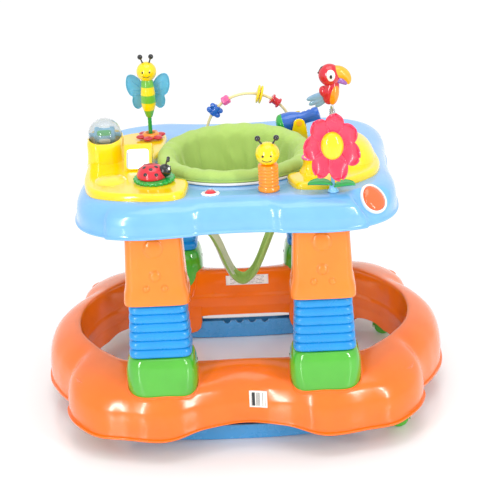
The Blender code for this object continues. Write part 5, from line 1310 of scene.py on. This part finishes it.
    def ladybird(self):
        x, y = -0.132, -0.168
        foot = tray_z(y, 0.0123) + TRAY_FALL * 0.034
        bm = bmesh.new()
        rings = []
        for scale, z in ((0.9, 0.0), (0.985, 0.0), (1.0, 0.0008), (1.0, 0.0036), (0.985, 0.0046), (0.93, 0.005)):
            ring = []
            for k in range(176):
                a = math.tau * k / 176
                tooth = 0.0014 * math.cos(22 * a) * smooth_step(scale, 0.9, 0.98)
                reach = 0.0332 * scale + tooth
                ring.append(Vector((x + reach * math.cos(a), y + reach * math.sin(a), foot + z)))
            rings.append(ring)
        loft(bm, rings)
        for k in range(11):
            a = math.tau * (k + 0.5) / 11
            ball(bm, (x + 0.0272 * math.cos(a), y + 0.0272 * math.sin(a), foot + 0.0046), (0.003, 0.002, 0.0012),
                 Matrix.Rotation(a, 4, "Z"), 14, 8)
        put("leaf_disc", bm, ["leaf"], "ladybug", "ladybug_disc", 40.0)
        seat = foot + 0.0053
        cx = x - 0.004
        bm = bmesh.new()
        dome = through_profile([(0.0, 0.022), (0.007, 0.0215), (0.014, 0.0192), (0.0198, 0.0145), (0.0232, 0.0085),
                                (0.0243, 0.0035), (0.0238, 0.0006), (0.022, 0.0)])
        lathe(bm, dome + [(0.0, 0.0)], (cx, y, seat), steps=56)
        # the parting between the wing cases, and dark spots that follow the dome
        for a, r in ((-2.5, 0.55), (-1.55, 0.62), (-0.75, 0.5), (2.5, 0.55), (1.4, 0.62), (0.6, 0.45), (-2.0, 0.88),
                     (-1.15, 0.9), (2.0, 0.88), (3.05, 0.8)):
            flat = 0.0245 * r
            high = 0.022 * math.sqrt(max(0.0, 1 - r ** 2.3))
            normal = Vector((math.cos(a) * flat / 0.0245 ** 2, math.sin(a) * flat / 0.0245 ** 2, high / 0.022 ** 2))
            turn = Vector((0, 0, 1)).rotation_difference(normal.normalized()).to_matrix().to_4x4()
            ball(bm, (cx + flat * math.cos(a), y + flat * math.sin(a), seat + high), (0.0034, 0.003, 0.0011), turn, 18,
                 10, 1)
        tube(bm, [(cx + 0.0245 * math.sin(math.radians(t)), y, seat + 0.0222 * math.cos(math.radians(t)))
                  for t in range(-84, 70, 7)], 0.0006, 8, material=1)
        put("ladybird_shell", bm, ["red", "black"], "ladybug", "ladybug_shell", 50.0)
        head = Vector((x + 0.0185, y - 0.004, seat + 0.0115))
        bm = bmesh.new()
        ball(bm, head, 0.0108, None, 32, 20)
        for side in (-1, 1):
            ball(bm, head + Vector((0.0072, side * 0.0045 - 0.0022, 0.0048)), (0.0023, 0.0023, 0.0026), None, 16, 10, 1)
            ball(bm, head + Vector((0.0091, side * 0.005 - 0.0026, 0.0054)), (0.001, 0.0011, 0.0013), None, 12, 8)
            top = head + Vector((0.0065, side * 0.005, 0.019))
            tube(bm, [head + Vector((0.002, side * 0.003, 0.0085)),
                      head + Vector((0.0035, side * 0.0042, 0.0145)), top],
                 [0.0012, 0.0011, 0.0011], 10)
            ball(bm, top, (0.003, 0.0026, 0.003), None, 16, 10)
        put("ladybird_head", bm, ["black", "white"], "ladybug", "ladybug_head", 50.0)

    def execute(self, context):
        self.panel()
        self.mirror()
        self.picture_ball()
        self.bee()
        self.ladybird()
        return {"FINISHED"}


# ---------------------------------------------------------------- toys at the front
class WALKER_OT_front_toys(bpy.types.Operator):
    """Build the gem button and the grub"""
    bl_idname = "walker.front_toys"
    bl_label = "Front toys"

    def execute(self, context):
        x, y = -0.04, -0.214
        z = tray_z(y)
        bm = bmesh.new()
        lathe(bm, [(0, -0.008), (0.009, -0.008), (0.009, 0.001)], (x, y, z), steps=10)
        lathe(bm, [(0.009, 0.001), (0.0088, 0.0028), (0.0066, 0.0052), (0.0034, 0.006), (0, 0.006)], (x, y, z),
              steps=10)
        put("gem_cap", bm, ["red"], "gem_button", "gem_button", 5.0)
        bm = bmesh.new()
        for k in range(12):
            a = math.tau * k / 12
            px, py = x + 0.0122 * math.cos(a), y + 0.0122 * math.sin(a)
            ball(bm, (px, py, tray_z(py, 0.0006)), (0.0034, 0.0034, 0.0016), None, 16, 10)
        ring = [(0.0096, 0.0018), (0.011, 0.0026), (0.0126, 0.002), (0.014, 0.0002), (0.0096, 0.0)]
        lathe(bm, ring + ring[:1], (x, y, z), (0, TRAY_FALL, 1), 48)
        put("gem_surround", bm, ["white"], "tray")

        x, y = 0.055, -0.209
        foot = tray_z(y, 0.0003) + TRAY_FALL * 0.0165
        bm = bmesh.new()
        profile = [(0.0, 0.0), (0.0172, 0.0), (0.0176, 0.0008), (0.0176, 0.004), (0.0166, 0.0062), (0.0158, 0.0078)]
        for k in range(6):
            low = 0.0085 + k * 0.0057
            profile += [(0.0158, low), (0.0164, low + 0.0008), (0.0166, low + 0.0028), (0.0164, low + 0.0046),
                        (0.0157, low + 0.0052)]
        profile += [(0.0158, 0.0432), (0.015, 0.044), (0.0, 0.044)]
        lathe(bm, profile, (x, y, foot), steps=56)
        put("grub_trunk", bm, ["tangerine"], "tray", "grub_body", 60.0)
        head = Vector((x, y, foot + 0.0443 + 0.0195 * 0.88))
        bm = bmesh.new()
        ball(bm, head, (0.0195, 0.0195, 0.0192), None, 44, 28)
        low = foot + 0.0443
        bmesh.ops.bisect_plane(bm, geom=bm.verts[:] + bm.edges[:] + bm.faces[:], plane_co=(x, y, low),
                               plane_no=(0, 0, -1), clear_outer=True)
        bmesh.ops.holes_fill(bm, edges=[e for e in bm.edges if e.is_boundary])
        for side in (-1, 1):
            ball(bm, head + Vector((side * 0.0064 - 0.0015, -0.0181, 0.0015)), (0.0019, 0.001, 0.0021), None,
                 16, 10, 1)
            top = head + Vector((side * 0.015, 0, 0.0262))
            tube(bm, [head + Vector((side * 0.0085, 0, 0.016)), head + Vector((side * 0.0122, 0, 0.0215)), top],
                 [0.0017, 0.0014, 0.0014], 10, material=1)
            ball(bm, top, 0.0048, None, 22, 14, 1)
        smile = []
        for a in range(-62, 63, 8):
            dx, dz = 0.009 * math.sin(math.radians(a)) - 0.0012, -0.003 - 0.0048 * math.cos(math.radians(a))
            smile.append(head + Vector((dx, -math.sqrt(0.0196 ** 2 - dx * dx - dz * dz), dz)))
        tube(bm, smile, 0.0006, 8, material=1)
        put("grub_face", bm, ["yellow", "black"], "grub_head", "grub_head", 60.0)
        return {"FINISHED"}


# ---------------------------------------------------------------- toys at the rear
class WALKER_OT_rear_toys(bpy.types.Operator):
    """Build the bead arch and the telescope"""
    bl_idname = "walker.rear_toys"
    bl_label = "Rear toys"

    def beads(self):
        sizes = settings().sizes
        centre = Vector((0.025, 0.142, tray_z(0.142, 0.0015)))
        bm = bmesh.new()
        tube(bm, [centre + ARCH_R * Vector((math.cos(math.radians(a)), 0, math.sin(math.radians(a))))
                  for a in [-1 + 182 * k / 80 for k in range(81)]], sizes.wire, 16)
        for side in (-1, 1):
            low = tray_z(0.142, 0.0003)
            lathe(bm, through_profile([(0.0, 0.0075), (0.0034, 0.0074), (0.0042, 0.0055), (0.006, 0.0036),
                                       (0.008, 0.0022), (0.0082, 0.0), (0.0, -0.0005)], 3),
                  (0.025 + side * ARCH_R, 0.142, low), steps=28)
        put("arch_wire", bm, ["cream"], "tray", "bead_wire", 50.0)

        def spot(angle):
            a = math.radians(angle)
            return centre + ARCH_R * Vector((math.cos(a), 0, math.sin(a))), Vector((-math.sin(a), 0, math.cos(a)))

        hole = 0.0037
        # a butterfly of four rounded wings about the wire
        at, along = spot(141.0)
        turn = Vector((0, 0, 1)).rotation_difference(along).to_matrix().to_4x4()
        place = Matrix.Translation(at) @ turn
        bm = bmesh.new()
        lathe(bm, [(hole, -0.0095), (0.006, -0.0095), (0.0068, -0.0085), (0.0068, 0.0085), (0.006, 0.0095),
                   (hole, 0.0095), (hole, -0.0095)], at, along, 32)
        for a, z, r in ((0.0, 0.0045, 0.0062), (math.pi, 0.0045, 0.0062), (0.0, -0.005, 0.0054),
                        (math.pi, -0.005, 0.0054)):
            ball(bm, place @ Vector((0.008 * math.cos(a), 0, z)), (r, 0.0058, r * 0.86), turn, 22, 14)
        put("butterfly_bead", bm, ["blue"], "bead_butterfly", "bead_butterfly", 60.0)
        at, along = spot(121.0)
        bm = bmesh.new()
        lathe(bm, [(hole, -0.0068), (0.0066, -0.007), (0.0084, -0.0056), (0.0088, -0.002), (0.0082, 0.0),
                   (0.0088, 0.002), (0.0084, 0.0056), (0.0066, 0.007), (hole, 0.0068), (hole, -0.0068)], at, along, 8)
        put("faceted_bead", bm, ["pink"], "bead_pink", "bead_pink", 12.0)
        at, along = spot(75.0)
        bm = bmesh.new()
        for side in (-1, 1):
            half = through_profile([(hole, side * 0.0004), (0.013, side * 0.0004), (0.016, side * 0.0014),
                                    (0.0166, side * 0.003), (0.015, side * 0.0046), (0.01, side * 0.0056),
                                    (0.005, side * 0.006), (hole, side * 0.0058)], 3)
            lathe(bm, half + half[:1], at, along, 44)
        put("double_disc_bead", bm, ["yellow"], "bead_yellow", "bead_yellow", 50.0)
        at, along = spot(52.0)
        bm = bmesh.new()
        lathe(bm, [(hole, -0.0085), (0.0086, -0.0085), (0.0095, -0.0077), (0.0095, -0.0058), (0.0088, -0.005),
                   (0.007, -0.0046), (0.0066, -0.0036), (0.0066, 0.0036), (0.007, 0.0046), (0.0088, 0.005),
                   (0.0095, 0.0058), (0.0095, 0.0077), (0.0086, 0.0085), (hole, 0.0085), (hole, -0.0085)],
              at, along, 40)
        put("spool_bead", bm, ["red"], "bead_spool", "bead_spool", 35.0)

    def telescope(self):
        centre = Vector((0.113, 0.097, 0.464))
        tilt = math.radians(16)
        along = Vector((math.cos(tilt), 0, math.sin(tilt)))
        bm = bmesh.new()
        lathe(bm, through_profile([(0.0, -0.0415), (0.0075, -0.0408), (0.014, -0.038), (0.0178, -0.034),
                                   (0.0184, -0.03), (0.018, -0.0282)]), centre, along, 52, 1)
        lathe(bm, through_profile([(0.0186, -0.0284), (0.0186, -0.02), (0.0178, -0.012), (0.015, -0.003),
                                   (0.0122, 0.004), (0.0112, 0.012), (0.0116, 0.024), (0.0124, 0.031),
                                   (0.012, 0.036), (0.0095, 0.038), (0.0, 0.0385)]), centre, along, 52)
        lathe(bm, [(0.0184, -0.03), (0.019, -0.0292), (0.019, -0.028), (0.0186, -0.0272)], centre, along, 52, 1)
        lathe(bm, [(0.0, -0.0226), (0.0028, -0.0226), (0.0028, 0.0226), (0.0, 0.0226)], centre, (0, 1, 0), 24)
        for k in range(3):
            spot = centre + along * (0.004 + 0.009 * k) + Vector((0, 0, 0.0122 - 0.0002 * k))
            ball(bm, spot, (0.0022, 0.0022, 0.0012), None, 14, 8, 2)
        put("telescope_tube", bm, ["blue", "leaf", "white"], "telescope", "telescope_barrel", 45.0)
        low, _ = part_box("telescope_cradle")
        bm = bmesh.new()
        for side in (-1, 1):
            stand = Matrix(((1, 0, 0, centre.x), (0, 0, -side, centre.y + side * 0.0235), (0, 1, 0, 0), (0, 0, 0, 1)))
            outline = [(-0.015, low[2]), (0.015, low[2]), (0.0125, centre.z - 0.012)]
            outline += [(0.01 * math.cos(math.radians(a)), centre.z + 0.008 * math.sin(math.radians(a)))
                        for a in range(-10, 191, 14)]
            outline += [(-0.0125, centre.z - 0.012)]
            plate(bm, outline, 0.003, stand, 0.0007)
            lathe(bm, [(0.0, 0.0), (0.005, 0.0), (0.0048, 0.0012), (0.0, 0.0018)],
                  (centre.x, centre.y + side * 0.0235, centre.z), (0, side, 0), 24, 1)
        block(bm, (centre.x - 0.015, centre.y - 0.0232, low[2] - 0.001),
              (centre.x + 0.015, centre.y + 0.0232, low[2] + 0.003), 0.0008)
        put("telescope_bracket", bm, ["yellow", "amber"], "tray", "telescope_cradle", 35.0)

    def execute(self, context):
        self.beads()
        self.telescope()
        return {"FINISHED"}


# ---------------------------------------------------------------- toys on the right
class WALKER_OT_right_toys(bpy.types.Operator):
    """Build the right panel with its ring, rattle, parrot, flower and oval button"""
    bl_idname = "walker.right_toys"
    bl_label = "Right toys"

    def panel(self):
        outline = [(0.098, -0.206), (0.118, -0.216), (0.15, -0.218), (0.178, -0.205), (0.205, -0.183),
                   (0.232, -0.145), (0.242, -0.095), (0.238, -0.035), (0.226, 0.02), (0.204, 0.056),
                   (0.178, 0.066), (0.15, 0.054)]
        outline += seat_arc(0.1425, 35, -53, 8)
        bm = bmesh.new()
        raised_panel(bm, outline)
        # the mound rises to a soft peak at the outer side
        rings = []
        for k in range(15):
            t = k / 14
            grow = math.cos(t * math.pi / 2) ** 0.75
            cx, cy = 0.203 - 0.006 * t, -0.06 + 0.02 * t
            ring = []
            for x, y in squircle(cx, cy, 0.034 * grow + 0.0005, 0.07 * grow + 0.0005, 2.4, 48):
                ring.append(Vector((x, y, tray_z(y, 0.0095 + 0.034 * math.sin(t * math.pi / 2) ** 1.3))))
            rings.append(ring)
        loft(bm, rings, caps=(False, True))
        # the small stand of the pink ring
        sx, sy = 0.125, -0.149
        deck = tray_z(sy, 0.01)
        profile = through_profile([(0.0195, 0.0), (0.0186, 0.004), (0.015, 0.009), (0.0128, 0.015), (0.0124, 0.021),
                                   (0.013, 0.0255), (0.012, 0.0272), (0.0, 0.0275)])
        lathe(bm, profile, (sx, sy, deck), steps=44)
        put("right_panel", bm, ["yellow"], "tray", "toy_panel_right", 40.0)
        bm = bmesh.new()
        ring = [(0.0128 + 0.0022 * math.cos(math.tau * k / 14), 0.0268 + 0.002 * math.sin(math.tau * k / 14))
                for k in range(15)]
        lathe(bm, ring, (sx, sy, deck), steps=48)
        put("pink_ring", bm, ["pink"], "tray")
        # a printed leaf patch on the mound
        bm = bmesh.new()
        ball(bm, (0.196, -0.048, tray_z(-0.048, 0.0405)), (0.0115, 0.0175, 0.003), Matrix.Rotation(0.5, 4, "Y"),
             24, 12)
        put("leaf_patch", bm, ["leaf"], "tray")

    def flower(self):
        x, y, z = 0.158, -0.232, 0.534
        front = y - 0.0075
        lobes = 7
        stations = [0.0, 0.12, 0.26, 0.4, 0.52] + [0.55 + 0.45 * math.sin(math.pi / 18 * m) for m in range(1, 10)]
        bm = bmesh.new()
        for k in range(lobes):
            a = math.tau * (k + 0.5) / lobes + 0.06
            out = Vector((math.cos(a), 0, math.sin(a)))
            side = Vector((-math.sin(a), 0, math.cos(a)))
            # a cupped petal: it widens to its middle and ends in a round tip
            rows = []
            for t in stations:
                reach = 0.01 + 0.034 * t
                if t < 0.55:
                    half = 0.0152 * (0.6 + 0.4 * t / 0.55)
                else:
                    half = 0.0152 * math.sqrt(max(0.012, 1 - ((t - 0.55) / 0.452) ** 2))
                row = []
                for j in range(13):
                    s = j / 12 * 2 - 1
                    spot = out * reach + side * (half * s)
                    dish = 0.0046 * (s * s) * (0.3 + 0.7 * t) + 0.0055 * t ** 2 - 0.0034 * math.sin(math.pi * t)
                    row.append(Vector((x, front - 0.003, z)) + spot + Vector((0, -dish - 0.0003 * (k % 2), 0)))
                rows.append(row)
            thick_sheet(bm, rows, 0.0026)
        lathe(bm, through_profile([(0.0, 0.0), (0.02, 0.0), (0.0215, 0.002), (0.02, 0.004), (0.0, 0.004)], 2),
              (x, front, z), (0, -1, 0), 40)
        ring = [(0.018, 0.003), (0.0182, 0.0058)]
        ring += [(0.0182 * math.cos(math.radians(a)), 0.0058 + 0.0112 * math.sin(math.radians(a)))
                 for a in range(8, 91, 8)]
        before = set(bm.faces)
        lathe(bm, ring + [(0.0, 0.017)], (x, front, z), (0, -1, 0), 48)
        for face in bm.faces:
            if face not in before:
                face.material_index = 1
                for vert in face.verts:
                    vert.tag = True
        for vert in bm.verts:
            if vert.tag:
                vert.co.z = z + (vert.co.z - z) * 1.28
        put("flower_bloom", bm, ["petal", "yellow"], "flower", "flower_head", 50.0)
        foot = tray_z(y, 0.0003) + TRAY_FALL * 0.008
        bm = bmesh.new()
        tube(bm, [(x, y, foot + (z + 0.004 - foot) * k / 10) for k in range(11)], 0.0031, 18)
        lathe(bm, through_profile([(0.0, 0.0115), (0.0052, 0.0112), (0.0058, 0.0085), (0.0066, 0.005),
                                   (0.0086, 0.0022), (0.0092, 0.0), (0.0, 0.0)], 3), (x, y, foot), steps=36)
        tube(bm, [(x, y, z), (x, front + 0.0004, z)], 0.0055, 20)
        for side, lift, long in ((-1, 0.0, 0.04), (1, -0.004, 0.035)):
            rows = []
            for i in range(15):
                t = i / 14
                half = 0.0108 * math.sin(math.pi * (0.06 + 0.92 * t)) ** 0.62
                row = []
                for j in range(11):
                    s = j / 10 * 2 - 1
                    cup = 0.005 * s * s * math.sin(math.pi * t) ** 0.5 + 0.0035 * math.sin(math.pi * t * 0.5)
                    row.append(Vector((x + side * (0.001 + long * t), y - 0.006 + half * s + 0.003 * t,
                                       foot + 0.015 + lift + cup - 0.003 * t)))
                rows.append(row)
            thick_sheet(bm, rows, 0.0024, 1)
        put("flower_stalk", bm, ["sky", "leaf"], "tray", "flower_stem", 50.0)

    def parrot(self):
        x, y = 0.17, 0.035
        foot = tray_z(y, 0.0123) + TRAY_FALL * 0.01
        bm = bmesh.new()
        lathe(bm, through_profile([(0.0, 0.0), (0.0098, 0.0), (0.01, 0.0022), (0.007, 0.005), (0.0042, 0.0066)], 3)
              + [(0.003, 0.009), (0.003, 0.5067 - foot), (0.0, 0.5067 - foot)], (x, y, foot), steps=36)
        # a coil spring round the stalk
        path = [(x + 0.005 * math.cos(t), y + 0.005 * math.sin(t), foot + 0.01 + 0.0032 * t / math.tau)
                for t in [math.tau * k / 16 for k in range(16 * 15)]]
        tube(bm, path, 0.0008, 8)
        put("parrot_spring", bm, ["steel"], "tray", "parrot_stem", 40.0)
        bm = bmesh.new()
        lean = Matrix.Rotation(math.radians(14), 4, "Y")
        ball(bm, (x - 0.001, y, 0.534), (0.014, 0.0125, 0.025), lean, 36, 24)
        bmesh.ops.bisect_plane(bm, geom=bm.verts[:] + bm.edges[:] + bm.faces[:], plane_co=(x, y, 0.5074),
                               plane_no=(0, 0, -1), clear_outer=True)
        bmesh.ops.holes_fill(bm, edges=[e for e in bm.edges if e.is_boundary])
        head = Vector((x - 0.003, y, 0.563))
        ball(bm, head, (0.0192, 0.0165, 0.0195), Matrix.Rotation(math.radians(10), 4, "Y"), 36, 24)
        # belly
        ball(bm, (x + 0.003, y - 0.003, 0.53), (0.01, 0.011, 0.0205), Matrix.Rotation(math.radians(8), 4, "Y"),
             28, 18, 1)
        # beak: upper curve and lower jaw
        upper = through([(x + 0.006, 0.5675), (x + 0.016, 0.5665), (x + 0.0245, 0.561), (x + 0.029, 0.552),
                         (x + 0.0285, 0.545)], 5)
        tube(bm, [(p[0], y, p[1]) for p in upper],
             [0.0118 * (1 - 0.8 * (i / (len(upper) - 1)) ** 1.7) for i in range(len(upper))], 22, material=2)
        lower = through([(x + 0.008, 0.556), (x + 0.016, 0.553), (x + 0.0225, 0.549), (x + 0.0265, 0.5455)], 5)
        tube(bm, [(p[0], y, p[1]) for p in lower],
             [0.0078 * (1 - 0.6 * (i / (len(lower) - 1)) ** 1.5) for i in range(len(lower))], 20, material=3)
        for side in (-1, 1):
            ball(bm, head + Vector((0.0012, side * 0.0118, 0.0015)), (0.0092, 0.0056, 0.0112), None, 28, 18, 4)
            ball(bm, head + Vector((0.002, side * 0.017, 0.0012)), (0.0026, 0.0013, 0.0036), None, 16, 10, 5)
        # the dark tuft, and the tail in three feathers
        for k, (dx, dz) in enumerate(((-0.015, 0.0095), (-0.0125, 0.013), (-0.0165, 0.0055))):
            ball(bm, head + Vector((dx, 0, dz)), (0.0044, 0.003, 0.0022),
                 Matrix.Rotation(math.radians(-50 + 12 * k), 4, "Y"), 18, 12, 5)
        for k, (angle, long) in enumerate(((196, 0.037), (208, 0.036), (222, 0.027))):
            a = math.radians(angle)
            start = Vector((x - 0.008, y, 0.53 - 0.003 * k))
            path = [start + Vector((math.cos(a), 0, math.sin(a))) * long * t
                    for t in (0, 0.2, 0.4, 0.6, 0.8, 0.94, 1.0)]
            before = set(bm.verts)
            tube(bm, path, [0.0046, 0.0058, 0.0062, 0.0058, 0.0048, 0.003, 0.001], 20, material=6)
            for vert in bm.verts:
                if vert not in before:
                    vert.co.y = y + (vert.co.y - y) * 0.5 + 0.001 * (k - 1)
        ball(bm, (x - 0.0115, y, 0.5325), (0.0095, 0.009, 0.012), Matrix.Rotation(math.radians(-35), 4, "Y"), 26, 16)
        put("parrot_figure", bm, ["red", "tangerine", "amber", "lilac", "white", "black", "slate"], "parrot",
            "parrot_body", 60.0)

    def oval(self):
        facing = OVAL_FACING
        across = Vector((-facing.y, facing.x, 0)).normalized()
        up = facing.cross(across)
        turn = Matrix((across, up, facing)).transposed().to_4x4()
        place = Matrix.Translation(OVAL_AT) @ turn

        def egg(wide, tall, height, count=64):
            return [place @ Vector((wide * math.cos(math.tau * k / count) * (1 - 0.1 * math.sin(math.tau * k / count)),
                                    tall * math.sin(math.tau * k / count), height)) for k in range(count)]

        bm = bmesh.new()
        loft(bm, [egg(0.0185, 0.0215, -0.01), egg(0.0185, 0.0215, 0.0012), egg(0.018, 0.021, 0.0026),
                  egg(0.0165, 0.0194, 0.0042), egg(0.0135, 0.016, 0.0056), egg(0.009, 0.0108, 0.0066),
                  egg(0.004, 0.005, 0.007), egg(0.0008, 0.001, 0.0071)])
        put("oval_cap", bm, ["coral"], "oval_button", "oval_button", 60.0)
        bm = bmesh.new()
        loft(bm, [egg(0.019, 0.022, -0.012), egg(0.019, 0.022, 0.0022), egg(0.0197, 0.0227, 0.0032),
                  egg(0.0212, 0.0242, 0.0034), egg(0.0226, 0.0256, 0.0022), egg(0.0236, 0.0266, -0.004),
                  egg(0.0236, 0.0266, -0.012), egg(0.019, 0.022, -0.012)], caps=(False, False))
        put("oval_surround", bm, ["white"], "tray", sharp=60.0)

    def rattle(self):
        x, y = 0.147, 0.006
        foot = tray_z(y, 0.0123) + TRAY_FALL * 0.008
        low = 0.008 + 0.0135
        bm = bmesh.new()
        profile = [(0.0, 0.0), (0.008, 0.0), (0.0082, 0.0012), (0.006, 0.0032), (0.0045, 0.0045), (0.0045, 0.0088)]
        profile += [(0.0135 * math.cos(math.radians(a)), low + 0.0135 * math.sin(math.radians(a)))
                    for a in range(-66, 91, 8)]
        lathe(bm, profile, (x, y, foot), steps=48)
        ring = [(0.0136 + 0.0008 * math.cos(math.tau * k / 12), low + 0.001 * math.sin(math.tau * k / 12))
                for k in range(13)]
        lathe(bm, ring, (x, y, foot), steps=48)
        for k in range(7):
            a = math.tau * k / 7
            ball(bm, (x + 0.0118 * math.cos(a), y + 0.0118 * math.sin(a), foot + low + 0.0068), 0.0016, None, 12, 8, 1)
        put("rattle_globe", bm, ["tangerine", "white"], "rattle", "rattle_ball", 60.0)

    def execute(self, context):
        self.panel()
        self.flower()
        self.parrot()
        self.oval()
        self.rattle()
        return {"FINISHED"}


# ---------------------------------------------------------------- stage
class WALKER_OT_stage(bpy.types.Operator):
    """Build the floor, the lights and the camera"""
    bl_idname = "walker.stage"
    bl_label = "Stage"

    def execute(self, context):
        stage = settings().stage
        scene = context.scene
        material, tree, shader, coords = blank("white_lacquered_sweep")
        wear = noise_at(tree, coords, 260.0, 3.0)
        dull = spread(tree, (wear, "Fac"), 0.16, 0.22)
        tree.links.new(dull.outputs["Result"], shader.inputs["Roughness"])
        shader.inputs["Base Color"].default_value = rgba(stage.floor)
        shader.inputs["Coat Weight"].default_value = 0.15
        shader.inputs["Coat Roughness"].default_value = 0.12
        bm = bmesh.new()
        bmesh.ops.create_grid(bm, x_segments=2, y_segments=2, size=12.0, matrix=Matrix.Translation((0, 0, -0.0004)))
        mesh = bpy.data.meshes.new("floor")
        bm.to_mesh(mesh)
        bm.free()
        mesh.materials.append(material)
        floor = bpy.data.objects.new("floor", mesh)
        scene.collection.objects.link(floor)

        world = bpy.data.worlds.new("white_room")
        world.use_nodes = True
        world.node_tree.nodes["Background"].inputs["Color"].default_value = (1.0, 1.0, 1.0, 1.0)
        world.node_tree.nodes["Background"].inputs["Strength"].default_value = 1.0
        scene.world = world

        def lamp(name, place, aim, wide, tall, power):
            data = bpy.data.lights.new(name, "AREA")
            data.shape = "RECTANGLE"
            data.size, data.size_y = wide, tall
            data.energy = power
            holder = bpy.data.objects.new(name, data)
            holder.location = place
            holder.rotation_euler = (Vector(aim) - Vector(place)).to_track_quat("-Z", "Y").to_euler()
            scene.collection.objects.link(holder)

        lamp("strip_left", (-1.25, -1.9, 0.95), (0, 0, 0.25), 0.1, 1.5, stage.strip)
        lamp("strip_right", (1.45, -1.7, 1.05), (0, 0, 0.25), 0.1, 1.5, stage.strip)
        lamp("overhead", (0.1, -0.3, 2.4), (0, 0, 0.2), 1.6, 1.3, stage.key)

        data = bpy.data.cameras.new("camera")
        data.lens = stage.lens
        data.sensor_width = 36.0
        data.clip_end = 60.0
        camera = bpy.data.objects.new("camera", data)
        place, aim = Vector((0.056, -3.0, 1.5225)), Vector((0.0167, 0.0, 0.2581))
        back = (place - aim).normalized()
        right = Vector((0, 0, 1)).cross(back).normalized()
        up = back.cross(right)
        roll = math.radians(2.81)
        right, up = right * math.cos(roll) - up * math.sin(roll), up * math.cos(roll) + right * math.sin(roll)
        camera.matrix_world = Matrix.Translation(place) @ Matrix((right, up, back)).transposed().to_4x4()
        scene.collection.objects.link(camera)
        scene.camera = camera
        scene.view_settings.view_transform = "Standard"
        return {"FINISHED"}


# ---------------------------------------------------------------- add-on
OPERATORS = (WALKER_OT_base, WALKER_OT_legs, WALKER_OT_rockers, WALKER_OT_casters, WALKER_OT_tray, WALKER_OT_seat,
             WALKER_OT_left_toys, WALKER_OT_front_toys, WALKER_OT_rear_toys, WALKER_OT_right_toys, WALKER_OT_stage)


class WALKER_PT_build(bpy.types.Panel):
    """Sizes, colours and the steps that build the walker"""
    bl_label = "Baby walker"
    bl_idname = "WALKER_PT_build"
    bl_space_type = "VIEW_3D"
    bl_region_type = "UI"
    bl_category = "Walker"

    def draw(self, context):
        for group in (settings().sizes, settings().colours, settings().stage):
            box = self.layout.box()
            for name in group.bl_rna.properties.keys():
                if name not in ("rna_type", "name"):
                    box.prop(group, name)
        for operator in OPERATORS:
            self.layout.operator(operator.bl_idname)


CLASSES = (WalkerSizes, WalkerColours, WalkerStage, WalkerSettings) + OPERATORS + (WALKER_PT_build,)


def register():
    for item in CLASSES:
        bpy.utils.register_class(item)
    bpy.types.Scene.baby_walker = PointerProperty(type=WalkerSettings, name="Baby walker",
                                                  description="Sizes, colours and stage of the walker")


def unregister():
    del bpy.types.Scene.baby_walker
    for item in reversed(CLASSES):
        bpy.utils.unregister_class(item)


def main():
    register()
    for operator in OPERATORS:
        category, name = operator.bl_idname.split(".")
        getattr(getattr(bpy.ops, category), name)()


if __name__ == "__main__":
    main()
